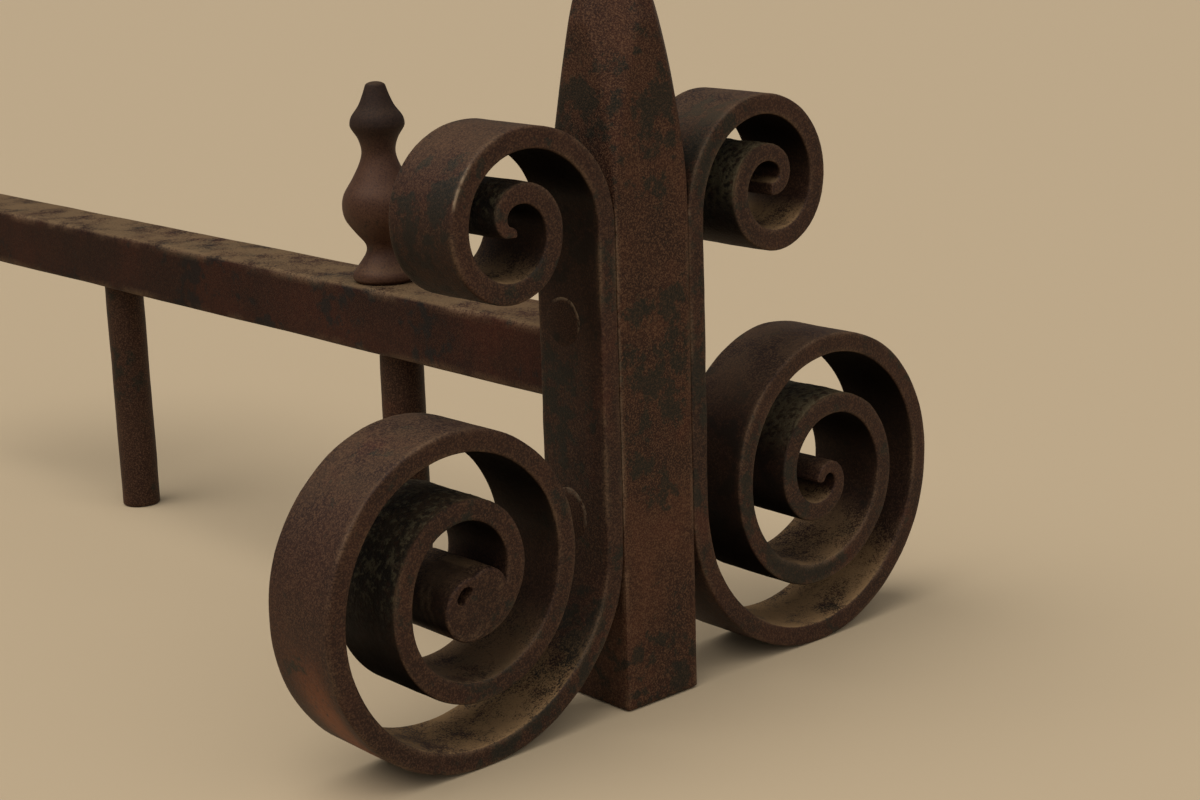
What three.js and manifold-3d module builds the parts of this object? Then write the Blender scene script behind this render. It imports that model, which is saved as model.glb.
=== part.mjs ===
// Andiron: a forged post with two scrolled straps, riveted through, and a log bar on two round legs.
// Millimetres, +Z up. The origin is the centre of the post's foot on the hearth; the log bar runs back along +Y.
import * as THREE from 'three';
import { mergeVertices } from 'three/addons/utils/BufferGeometryUtils.js';
import Module from 'manifold-3d';

const wasm = await Module();
wasm.setup();

// ---- Driving dimensions ----

const fitGap = 0.3; // clearance all round a tenon, a stud or a rivet in its hole

// Post: square bar whose corners are hammered away above a shoulder, down to a blunt point.
const postSide = 38.1;
const postArris = 0.5; // corner flat left by the hammer on the square stretch
const postFootBevel = 1.2;
const shoulderHeight = 195; // where the corners start to be cut away
const pointLength = 120.7; // from the shoulder to where the corners would meet on the axis
const pointBluntness = 0.957; // share of that length that is really there
const faceToCorner = 1.13; // half width of a face to half width across the corners, near the point
const pointSteps = 12;

// Straps: one flat bar on each side of the post, rolled into a volute at both ends.
const strapWidth = 36.5;
const strapThickness = 8.4;
const strapForward = 0.7; // straps sit this far towards the front of the post
const strapArris = 0.9;
const stepsPerQuarter = 7;

// Each volute: radii of the strap's middle line at successive quarter turns, from the straight stretch inwards,
// and how far its eye lies outwards and upwards of the centre that the first turn has.
const leftLowerVolute = {
  radii: [74.9, 65.3, 57.3, 55.1, 48.5, 42.3, 29.5, 26.3, 21.9, 21.6],
  eyeOut: -3.7,
  eyeUp: 7.1,
};
const rightLowerVolute = {
  radii: [69.3, 69.4, 64.0, 54.5, 45.7, 41.0, 38.0, 31.7, 20.7, 10.6, 7.4, 7.2],
  eyeOut: 6.5,
  eyeUp: -4.9,
  thinFromTurn: 2,
  tipThickness: 4.2,
};
const leftUpperVolute = {
  centreHeight: 195.4,
  radii: [38.9, 34.6, 28.6, 21.8, 16.3, 10.0, 6.3, 5.8],
  eyeOut: 5.7,
  eyeUp: 8.4,
  thinFromTurn: 1.1,
  tipThickness: 4.3,
};
const rightUpperVolute = {
  centreHeight: 191.1,
  radii: [38.6, 38.4, 28.3, 19.3, 14.5, 11.5, 10.3, 5.7],
  eyeOut: 1.6,
  eyeUp: 13.5,
  thinFromTurn: 1.1,
  tipThickness: 4.6,
};
// The left strap's lower end is rolled shut on itself, which leaves a small hole in the roll.
const rollRadius = 12.4;
const rollHoleRadius = 1.4;
const rollHoleOut = 4.8;
const rollHoleUp = 7.6;
const rollHoleSegments = 12;

// Rivets: through both straps and the post, with wide heads hammered nearly flat.
const rivetShankRadius = 5;
const rivetHeadRadius = 10.2;
const rivetHeadHeight = 1;
const rivetHeadEdge = 0.4; // height of the head's upright edge
const rivetHeadBevel = 1; // width of the bevel between that edge and the face
const rivetHeadCrown = 0.15; // rise of the face towards its middle
const rivetSetBack = 2.4; // behind the post's axis
const upperRivetHeight = 156.5;
const lowerRivetHeight = 80;

// Log bar: behind the post, tenoned into it.
const barWidth = 33.6;
const barThickness = 28.8;
const barTopHeight = 149;
const barLength = 541; // from the post's rear face
const barArris = 2;
const barArrisSteps = 4;
const barTenonWidth = 20;
const barTenonThickness = 17;
const mortiseWeb = 2; // iron left in the post between the tenon's mortise and a rivet's hole

// Legs: round bars whose tenons are driven into blind holes under the log bar.
const legRadius = 9.65;
const legFootBevel = 0.8;
const legTenonRadius = 5.5;
const legTenonLength = 11;
const frontLegSetBack = 124.9; // both from the post's rear face
const rearLegSetBack = 362.7;
const roundSegments = 28;

// Log stop: a turned baluster whose stud is driven into the top of the log bar.
const logStopSetBack = 133.7; // from the post's rear face
const logStopStudRadius = 5;
const logStopStudLength = 11;
// Heights above the bar and radii at which the turned profile turns.
const logStopProfile = [
  [0, 12.6],
  [1.8, 13.9],
  [4.6, 13.5],
  [8.9, 10.3],
  [13.2, 7.7],
  [17, 7.9],
  [22.2, 12.1],
  [27.8, 16],
  [33.3, 17.1],
  [38.8, 16.1],
  [45.4, 12.1],
  [52, 8.7],
  [57.4, 7.4],
  [62.8, 8.7],
  [67.2, 11.4],
  [69.4, 11.9],
  [72.5, 11],
  [76.8, 7.9],
  [81.2, 5.9],
  [85.2, 4.5],
];
const logStopHeight = 87.2;
const profileSteps = 2; // along each stretch of the turned profile
const crownAngles = [30, 60]; // degrees round the knob's crown at which its profile has points

const ironMetalness = 0.55;
const weldDistance = 1e-4; // vertices this close are one

// ---- Sizes that follow ----

const postHalf = postSide / 2;
const barBottomHeight = barTopHeight - barThickness;
const barMiddleHeight = barTopHeight - barThickness / 2;
const rivetHoleRadius = rivetShankRadius + fitGap;
const mortiseDepth = postHalf - rivetSetBack - rivetHoleRadius - mortiseWeb;
const barTenonLength = mortiseDepth - fitGap;

// ---- Helpers ----

// A closed mesh as a solid for joining and cutting.
function solid(geometry) {
  const bare = geometry.index ? geometry.toNonIndexed() : geometry.clone();
  bare.deleteAttribute('normal');
  bare.deleteAttribute('uv');
  const merged = mergeVertices(bare, weldDistance);
  return new wasm.Manifold(
    new wasm.Mesh({
      numProp: 3,
      vertProperties: new Float32Array(merged.attributes.position.array),
      triVerts: new Uint32Array(merged.index.array),
    }),
  );
}

// A solid back as a geometry.
function geometryOf(body) {
  const mesh = body.getMesh();
  const geometry = new THREE.BufferGeometry();
  geometry.setAttribute('position', new THREE.BufferAttribute(new Float32Array(mesh.vertProperties), 3));
  geometry.setIndex(new THREE.BufferAttribute(new Uint32Array(mesh.triVerts), 1));
  const flat = geometry.toNonIndexed();
  flat.computeVertexNormals();
  return flat;
}

// A closed body through rings of points, all with the same number of points, ordered upwards.
function loft(rings) {
  const count = rings[0].length;
  const points = rings.flat();
  const faces = [];
  for (let level = 0; level < rings.length - 1; level += 1) {
    for (let side = 0; side < count; side += 1) {
      const a = level * count + side;
      const b = level * count + ((side + 1) % count);
      faces.push(a, b, b + count, a, b + count, a + count);
    }
  }
  const top = (rings.length - 1) * count;
  for (let side = 1; side < count - 1; side += 1) {
    faces.push(0, side + 1, side);
    faces.push(top, top + side, top + side + 1);
  }
  const geometry = new THREE.BufferGeometry().setFromPoints(points);
  geometry.setIndex(faces);
  return geometry;
}

// A box with its centre at (x, y, z).
function block(width, depth, height, x, y, z) {
  return new THREE.BoxGeometry(width, depth, height).translate(x, y, z);
}

// A body turned about the vertical through (x, y), from a profile of radii and heights.
function turned(profile, x, y) {
  const points = profile.map(([radius, height]) => new THREE.Vector2(radius, height));
  return new THREE.LatheGeometry(points, roundSegments).rotateX(Math.PI / 2).translate(x, y, 0);
}

// A round rod between two heights, to cut a vertical hole with.
function verticalRod(radius, from, to, y) {
  return turned([[0, from], [radius, from], [radius, to], [0, to]], 0, y);
}

// A body turned about a rivet's axis, the same on both sides of the post, from one side's radii and distances.
function turnedAcross(half, height) {
  const mirrored = half.map(([radius, across]) => [radius, -across]).reverse();
  const points = [...mirrored, ...half].map(([radius, across]) => new THREE.Vector2(radius, across));
  return new THREE.LatheGeometry(points, roundSegments).rotateZ(Math.PI / 2).translate(0, rivetSetBack, height);
}

// ---- Post ----

// An eight-sided ring: half width across the faces, and half width across the corners.
function postRing(faceHalf, cornerHalf, height) {
  const flat = Math.SQRT2 * cornerHalf - faceHalf;
  const corners = [
    [faceHalf, -flat],
    [faceHalf, flat],
    [flat, faceHalf],
    [-flat, faceHalf],
    [-faceHalf, flat],
    [-faceHalf, -flat],
    [-flat, -faceHalf],
    [flat, -faceHalf],
  ];
  return corners.map(([x, y]) => new THREE.Vector3(x, y, height));
}

function frontPost() {
  const cornerHalf = (2 * postHalf - postArris) / Math.SQRT2;
  const rings = [
    postRing(postHalf - postFootBevel, cornerHalf - Math.SQRT2 * postFootBevel, 0),
    postRing(postHalf, cornerHalf, postFootBevel),
    postRing(postHalf, cornerHalf, shoulderHeight),
  ];
  for (let step = 1; step <= pointSteps; step += 1) {
    const along = (step / pointSteps) * pointBluntness;
    const corner = cornerHalf * (1 - along * along);
    rings.push(postRing(Math.min(postHalf, faceToCorner * corner), corner, shoulderHeight + along * pointLength));
  }
  const mortise = block(
    barTenonWidth + 2 * fitGap,
    2 * mortiseDepth,
    barTenonThickness + 2 * fitGap,
    0,
    postHalf,
    barMiddleHeight,
  );
  return solid(loft(rings))
    .subtract(solid(mortise))
    .subtract(solid(rivetHole(upperRivetHeight)))
    .subtract(solid(rivetHole(lowerRivetHeight)));
}

// ---- Straps ----

// Radius of a volute after some quarter turns, smoothly through the radii that are given.
function radiusAt(radii, quarters) {
  const last = radii.length - 1;
  const from = Math.min(Math.floor(quarters), last - 1);
  const t = quarters - from;
  const slope = (k) => {
    if (k === 0) return 0;
    return k === last ? radii[last] - radii[last - 1] : (radii[k + 1] - radii[k - 1]) / 2;
  };
  const t2 = t * t;
  const t3 = t2 * t;
  return (
    radii[from] * (2 * t3 - 3 * t2 + 1) +
    slope(from) * (t3 - 2 * t2 + t) +
    radii[from + 1] * (3 * t2 - 2 * t3) +
    slope(from + 1) * (t3 - t2)
  );
}

// The strap's middle line in a volute, as points with the thickness there, from the straight stretch to the tip.
// x is the distance outwards from the post's axis, y the height above the volute's centre; up is 1 or -1.
function voluteLine(volute, up) {
  const quarters = volute.radii.length - 1;
  const steps = quarters * stepsPerQuarter;
  const centre = postHalf + strapThickness / 2 + volute.radii[0];
  const line = [];
  for (let step = 0; step <= steps; step += 1) {
    const share = step / steps;
    const angle = (share * quarters * Math.PI) / 2;
    const radius = radiusAt(volute.radii, share * quarters);
    const turn = (share * quarters) / 4;
    let thickness = strapThickness;
    if (volute.tipThickness && turn > volute.thinFromTurn) {
      const thinned = (turn - volute.thinFromTurn) / (quarters / 4 - volute.thinFromTurn);
      thickness += (volute.tipThickness - strapThickness) * thinned;
    }
    line.push({
      x: centre + volute.eyeOut * share - radius * Math.cos(angle),
      y: volute.eyeUp * share + up * radius * Math.sin(angle),
      thickness,
    });
  }
  return line;
}

// The two faces of the strap along a line: the one on its left, and the one on its right.
function facesOf(line) {
  const left = [];
  const right = [];
  line.forEach((point, k) => {
    const before = line[Math.max(k - 1, 0)];
    const after = line[Math.min(k + 1, line.length - 1)];
    const length = Math.hypot(after.x - before.x, after.y - before.y);
    const across = { x: -(after.y - before.y) / length, y: (after.x - before.x) / length };
    if (k === 0) {
      across.x = -Math.sign(after.y - before.y);
      across.y = 0;
    }
    const half = point.thickness / 2;
    left.push(new THREE.Vector2(point.x + across.x * half, point.y + across.y * half));
    right.push(new THREE.Vector2(point.x - across.x * half, point.y - across.y * half));
  });
  return { left, right };
}

// Half a circle round the tip, from one face's last point to the other's.
function roundTip(from, to, turning) {
  const middle = from.clone().add(to).multiplyScalar(0.5);
  const arm = from.clone().sub(middle);
  return [1, 2, 3].map((k) => arm.clone().rotateAround(new THREE.Vector2(), (turning * k * Math.PI) / 4).add(middle));
}

// The roll that shuts a volute, as a short round bar across the strap, with a small hole off its middle.
function roll(x, z) {
  const half = strapWidth / 2;
  const profile = [
    [0, -half],
    [rollRadius - strapArris, -half],
    [rollRadius, strapArris - half],
    [rollRadius, half - strapArris],
    [rollRadius - strapArris, half],
    [0, half],
  ];
  const points = profile.map(([radius, along]) => new THREE.Vector2(radius, along));
  return new THREE.LatheGeometry(points, roundSegments).translate(x, -strapForward, z);
}

// One strap as a solid on the side +1 (right) or -1 (left) of the post.
function strap(side, lower, upper, rolledShut) {
  const lowerFaces = facesOf(voluteLine(lower, -1));
  const upperFaces = facesOf(voluteLine(upper, 1));
  const lowerOuter = lowerFaces.right;
  const lowerInner = lowerFaces.left;
  const upperOuter = upperFaces.left;
  const upperInner = upperFaces.right;
  const lowerEnd = lowerOuter[lowerOuter.length - 1];
  const lowerInnerEnd = lowerInner[lowerInner.length - 1];
  const upperEnd = upperOuter[upperOuter.length - 1];
  // The lower volute stands on the hearth.
  const lift = -Math.min(...lowerOuter.map((point) => point.y));
  const raise = (points, by) => points.map((point) => new THREE.Vector2(point.x, point.y + by));
  const outline = [
    ...raise([...lowerOuter, ...roundTip(lowerEnd, lowerInnerEnd, 1), ...lowerInner.reverse()], lift),
    ...raise(
      [...upperInner, ...roundTip(upperInner[upperInner.length - 1], upperEnd, 1), ...upperOuter.reverse()],
      upper.centreHeight,
    ),
  ];
  const shape = new THREE.Shape(outline.map((point) => new THREE.Vector2(side * point.x, point.y)));
  const flatBar = new THREE.ExtrudeGeometry(shape, {
    depth: strapWidth - 2 * strapArris,
    bevelThickness: strapArris,
    bevelSize: strapArris,
    bevelOffset: -strapArris,
    bevelSegments: 1,
  });
  flatBar.rotateX(Math.PI / 2).translate(0, strapWidth / 2 - strapArris - strapForward, 0);
  let body = solid(flatBar);
  if (rolledShut) {
    const centre = lowerInnerEnd.clone().sub(lowerEnd).setLength(rollRadius).add(lowerEnd);
    const hole = new THREE.CylinderGeometry(rollHoleRadius, rollHoleRadius, 2 * strapWidth, rollHoleSegments);
    hole.translate(side * (centre.x + rollHoleOut), 0, centre.y + lift + rollHoleUp);
    body = body.add(solid(roll(side * centre.x, centre.y + lift))).subtract(solid(hole));
  }
  return body.subtract(solid(rivetHole(upperRivetHeight))).subtract(solid(rivetHole(lowerRivetHeight)));
}

// ---- Rivets ----

// What a rivet needs clear: its hole through the straps and the post, and a flat seat for each head.
function rivetHole(height) {
  const seat = postHalf + strapThickness;
  const head = rivetHeadRadius + fitGap;
  const end = seat + rivetHeadHeight + fitGap;
  const half = [
    [rivetHoleRadius, seat],
    [head, seat],
    [head, end],
    [0, end],
  ];
  return turnedAcross(half, height);
}

function rivet(height) {
  const seat = postHalf + strapThickness;
  const half = [
    [rivetShankRadius, seat],
    [rivetHeadRadius, seat],
    [rivetHeadRadius, seat + rivetHeadEdge],
    [rivetHeadRadius - rivetHeadBevel, seat + rivetHeadHeight - rivetHeadCrown],
    [0, seat + rivetHeadHeight],
  ];
  return turnedAcross(half, height);
}

// ---- Log bar ----

function logBar() {
  const w = barWidth / 2;
  const h = barThickness / 2;
  const section = new THREE.Shape();
  section.moveTo(w - barArris, -h);
  section.absarc(w - barArris, -h + barArris, barArris, -Math.PI / 2, 0);
  section.absarc(w - barArris, h - barArris, barArris, 0, Math.PI / 2);
  section.absarc(-w + barArris, h - barArris, barArris, Math.PI / 2, Math.PI);
  section.absarc(-w + barArris, -h + barArris, barArris, Math.PI, 1.5 * Math.PI);
  const bar = new THREE.ExtrudeGeometry(section, { depth: barLength, bevelEnabled: false, curveSegments: barArrisSteps });
  bar.rotateX(-Math.PI / 2).translate(0, postHalf, barMiddleHeight);
  const tenon = block(
    barTenonWidth,
    2 * barTenonLength,
    barTenonThickness,
    0,
    postHalf,
    barMiddleHeight,
  );
  let body = solid(bar).add(solid(tenon));
  for (const setBack of [frontLegSetBack, rearLegSetBack]) {
    const top = barBottomHeight + legTenonLength + fitGap;
    const hole = verticalRod(legTenonRadius + fitGap, barBottomHeight - barThickness, top, postHalf + setBack);
    body = body.subtract(solid(hole));
  }
  const studEnd = barTopHeight - logStopStudLength - fitGap;
  const studHole = verticalRod(
    logStopStudRadius + fitGap,
    studEnd,
    barTopHeight + barThickness,
    postHalf + logStopSetBack,
  );
  return body.subtract(solid(studHole));
}

// ---- Legs ----

function leg(setBack) {
  const profile = [
    [0, 0],
    [legRadius - legFootBevel, 0],
    [legRadius, legFootBevel],
    [legRadius, barBottomHeight],
    [legTenonRadius, barBottomHeight],
    [legTenonRadius, barBottomHeight + legTenonLength],
    [0, barBottomHeight + legTenonLength],
  ];
  return turned(profile, 0, postHalf + setBack);
}

// ---- Log stop ----

function logStop() {
  const curve = new THREE.SplineCurve(
    logStopProfile.map(([height, radius]) => new THREE.Vector2(radius, height)),
  );
  const crown = new THREE.Vector2(0, logStopHeight);
  const shoulder = curve.getPoint(1);
  const side = curve.getPoints((logStopProfile.length - 1) * profileSteps);
  const dome = crownAngles.map((degrees) => {
    const angle = THREE.MathUtils.degToRad(degrees);
    return [shoulder.x * Math.cos(angle), shoulder.y + (crown.y - shoulder.y) * Math.sin(angle)];
  });
  const profile = [
    [0, -logStopStudLength],
    [logStopStudRadius, -logStopStudLength],
    [logStopStudRadius, 0],
    ...side.map((point) => [point.x, point.y]),
    ...dome,
    [crown.x, crown.y],
  ];
  return turned(profile, 0, postHalf + logStopSetBack).translate(0, 0, barTopHeight);
}

// ---- The object ----

const group = new THREE.Group();

// One named sub-part with its own iron surface.
function addPart(name, geometry, color, roughness) {
  const material = new THREE.MeshStandardMaterial({ color, roughness, metalness: ironMetalness });
  const mesh = new THREE.Mesh(geometry, material);
  mesh.name = name;
  group.add(mesh);
}

addPart('front_post', geometryOf(frontPost()), 0x4a3a32, 0.75);
addPart('left_scroll', geometryOf(strap(-1, leftLowerVolute, leftUpperVolute, true)), 0x4d3b34, 0.72);
addPart('right_scroll', geometryOf(strap(1, rightLowerVolute, rightUpperVolute, false)), 0x4f3d34, 0.74);
addPart('upper_rivet', rivet(upperRivetHeight), 0x40302b, 0.7);
addPart('lower_rivet', rivet(lowerRivetHeight), 0x40302b, 0.7);
addPart('log_bar', geometryOf(logBar()), 0x4a352d, 0.78);
addPart('log_stop', logStop(), 0x4b3c35, 0.68);
addPart('front_leg', leg(frontLegSetBack), 0x3c2d27, 0.76);
addPart('rear_leg', leg(rearLegSetBack), 0x3c2d27, 0.76);

export default group;
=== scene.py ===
"""Looks of a forged andiron: a pointed post between two scrolled straps, and a log bar on two round legs.

Sizes are in millimetres in the classes and in metres in the scene. The origin is the centre of the post's foot,
+X is right as seen from the front, +Y runs back along the log bar and +Z is up.
"""

import logging
import math
from dataclasses import dataclass, field
from enum import Enum
from functools import partial

import bmesh
import bpy
from mathutils import Matrix, Vector
from mathutils.kdtree import KDTree


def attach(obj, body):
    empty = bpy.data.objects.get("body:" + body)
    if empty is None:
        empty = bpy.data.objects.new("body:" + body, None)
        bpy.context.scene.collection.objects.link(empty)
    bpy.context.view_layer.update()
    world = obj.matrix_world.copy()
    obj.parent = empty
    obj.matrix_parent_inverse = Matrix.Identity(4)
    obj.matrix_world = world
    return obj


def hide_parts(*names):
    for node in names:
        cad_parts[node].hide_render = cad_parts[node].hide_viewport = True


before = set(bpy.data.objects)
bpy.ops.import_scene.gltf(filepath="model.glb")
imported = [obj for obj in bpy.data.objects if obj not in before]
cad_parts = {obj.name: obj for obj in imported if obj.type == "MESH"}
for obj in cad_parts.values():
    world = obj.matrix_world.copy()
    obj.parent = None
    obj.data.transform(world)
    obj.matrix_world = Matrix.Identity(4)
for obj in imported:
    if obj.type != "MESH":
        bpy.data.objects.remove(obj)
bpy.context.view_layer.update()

log = logging.getLogger("andiron")

MM = 0.001
BODY = "root"

# Points closer together than this, in millimetres, become one, and faces that meet more steeply than this, in
# degrees, keep a sharp edge between them.
DOUBLES_MM = 0.01
SHARP_ANGLE = 50.0

# Rings that close a flat end, as shares of its size.
FACE_RINGS = (0.86, 0.7, 0.52, 0.34, 0.16, 0.03)
# Rings that round off the post's point, a strap's tip and the log stop's crown, as degrees of a quarter circle.
POINT_DEGREES = (20, 40, 58, 72, 83)
TIP_DEGREES = (18, 36, 52, 66, 78, 86)
CROWN_DEGREES = (0, 18, 36, 52, 66, 78, 88)

# Values from 0 to 1 that a mesh stores at its points for the finish: cinder crust, ash in its cracks, dust that
# nothing disturbs, soot and smoke that also paint shade, struck nicks that also paint a highlight on the rivets'
# rims, a stretch that glowed, and more or less fire scale.
MARKS = ("crust", "ashen", "shelter", "sooted", "smoked", "nick", "ember", "scaling")

# The kinds of node that are used most, and their settings. A range node's inputs are 0 for the value, 1 and 2 for
# where it starts and ends (the start may be the larger one), and 4 for the result at its end.
MATH, VECTORS, RANGE = "ShaderNodeMath", "ShaderNodeVectorMath", "ShaderNodeMapRange"
ADD, SUBTRACT, MULTIPLY, DIVIDE = ({"operation": name} for name in ("ADD", "SUBTRACT", "MULTIPLY", "DIVIDE"))
MULTIPLY_ADD, MINIMUM, MAXIMUM = ({"operation": name} for name in ("MULTIPLY_ADD", "MINIMUM", "MAXIMUM"))
SMOOTHLY = {"interpolation_type": "SMOOTHSTEP"}

Colour = tuple[float, float, float, float]


class Side(Enum):
    """Side of the post, as the sign of x."""

    LEFT = -1
    RIGHT = 1


class Curl(Enum):
    """End of a strap, as the sign of the way it leaves the straight stretch."""

    LOWER = -1
    UPPER = 1


# ---- Helpers ----


def linear(code: str) -> Colour:
    """Turn an sRGB colour into linear light.

    Args:
        code: Colour as "#rrggbb".

    Returns:
        Linear red, green, blue and an alpha of 1.
    """
    shares = [int(code[k : k + 2], 16) / 255 for k in (1, 3, 5)]
    light = [s / 12.92 if s <= 0.04045 else ((s + 0.055) / 1.055) ** 2.4 for s in shares]
    return (light[0], light[1], light[2], 1.0)


def smooth(value: float, low: float, high: float) -> float:
    """Rise smoothly from 0 at low to 1 at high, which may also be the smaller of the two."""
    share = min(max((value - low) / (high - low), 0.0), 1.0)
    return share * share * (3 - 2 * share)


def add_node(
    tree: bpy.types.NodeTree, kind: str, settings: dict | None = None, inputs: dict | None = None
) -> bpy.types.Node:
    """Add a node, set it and link it.

    Args:
        tree: Tree that gets the node.
        kind: Blender's name of the node type.
        settings: Values of the node's own properties.
        inputs: By a socket's name or index, its value, or the output socket or the node that feeds it.

    Returns:
        The new node.
    """
    node = tree.nodes.new(kind)
    for name, value in (settings or {}).items():
        setattr(node, name, value)
    for key, value in (inputs or {}).items():
        if isinstance(value, bpy.types.Node):
            value = value.outputs[0]
        if isinstance(value, bpy.types.NodeSocket):
            tree.links.new(value, node.inputs[key])
        else:
            node.inputs[key].default_value = value
    return node


def new_tree(name: str, sockets: list[tuple[str, str]]) -> bpy.types.NodeTree:
    """Start a geometry tree.

    Args:
        name: Name of the tree.
        sockets: Name and kind of each input, after the geometry.

    Returns:
        The tree, with its inputs and its one output.
    """
    tree = bpy.data.node_groups.new(name, "GeometryNodeTree")
    tree.interface.new_socket(name="Geometry", in_out="INPUT", socket_type="NodeSocketGeometry")
    tree.interface.new_socket(name="Geometry", in_out="OUTPUT", socket_type="NodeSocketGeometry")
    for label, kind in sockets:
        tree.interface.new_socket(name=label, in_out="INPUT", socket_type=kind)
    return tree


def run_tree(obj: bpy.types.Object, tree: bpy.types.NodeTree, values: dict) -> bpy.types.Mesh:
    """Run a geometry tree on an object and keep the result as a plain mesh.

    Args:
        obj: Object whose mesh goes in.
        tree: The tree.
        values: Values of the tree's inputs by name.

    Returns:
        The resulting mesh.
    """
    modifier = obj.modifiers.new(tree.name, "NODES")
    modifier.node_group = tree
    for item in tree.interface.items_tree:
        if item.item_type == "SOCKET" and item.in_out == "INPUT" and item.name in values:
            modifier[item.identifier] = values[item.name]
    made = baked(obj)
    obj.modifiers.remove(modifier)
    return made


def baked(obj: bpy.types.Object) -> bpy.types.Mesh:
    """Apply an object's modifiers to a new mesh.

    Args:
        obj: The object, which keeps its own mesh.

    Returns:
        The new mesh.
    """
    graph = bpy.context.evaluated_depsgraph_get()
    graph.update()
    return bpy.data.meshes.new_from_object(obj.evaluated_get(graph))


def as_object(name: str, mesh: bpy.types.Mesh) -> bpy.types.Object:
    """Put a mesh in the scene at the origin.

    Args:
        name: Name of the object.
        mesh: Its mesh.

    Returns:
        The object.
    """
    obj = bpy.data.objects.new(name, mesh)
    bpy.context.scene.collection.objects.link(obj)
    return obj


def discard(*objects: bpy.types.Object) -> None:
    """Remove helper objects and their meshes.

    Args:
        objects: The helpers.
    """
    for obj in objects:
        mesh = obj.data
        bpy.data.objects.remove(obj)
        bpy.data.meshes.remove(mesh)


def set_values(mesh: bpy.types.Mesh, name: str, kind: str, values: list) -> None:
    """Store one value for each vertex.

    Args:
        mesh: Mesh that gets the values.
        name: Name of the attribute.
        kind: "FLOAT" or "FLOAT_VECTOR".
        values: One number or vector for each vertex.
    """
    attribute = mesh.attributes.new(name, kind, "POINT")
    if kind == "FLOAT":
        attribute.data.foreach_set("value", values)
    else:
        attribute.data.foreach_set("vector", [number for value in values for number in value])


def close_up(mesh: bpy.types.Mesh) -> None:
    """Merge doubles, turn all faces outwards and shade smoothly, with sharp edges where faces meet steeply.

    Args:
        mesh: Mesh that is changed in place.
    """
    work = bmesh.new()
    work.from_mesh(mesh)
    bmesh.ops.remove_doubles(work, verts=work.verts, dist=DOUBLES_MM * MM)
    bmesh.ops.recalc_face_normals(work, faces=work.faces)
    work.to_mesh(mesh)
    work.free()
    mesh.shade_smooth()
    mesh.set_sharp_from_angle(angle=math.radians(SHARP_ANGLE))


def ringed(name: str, rings: list[list[Vector]]) -> bpy.types.Mesh:
    """Make a closed mesh from rings of points, whose first and last ring are closed with a flat face.

    Args:
        name: Name of the mesh.
        rings: Rings in metres, each with the same number of points.

    Returns:
        The mesh.
    """
    count = len(rings[0])
    faces = []
    for level in range(len(rings) - 1):
        for k in range(count):
            a = level * count + k
            b = level * count + (k + 1) % count
            faces.append((a, b, b + count, a + count))
    faces.append(tuple(reversed(range(count))))
    faces.append(tuple(range((len(rings) - 1) * count, len(rings) * count)))
    mesh = bpy.data.meshes.new(name)
    mesh.from_pydata([point for ring in rings for point in ring], [], faces)
    close_up(mesh)
    return mesh


# ---- Finishes ----


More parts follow.
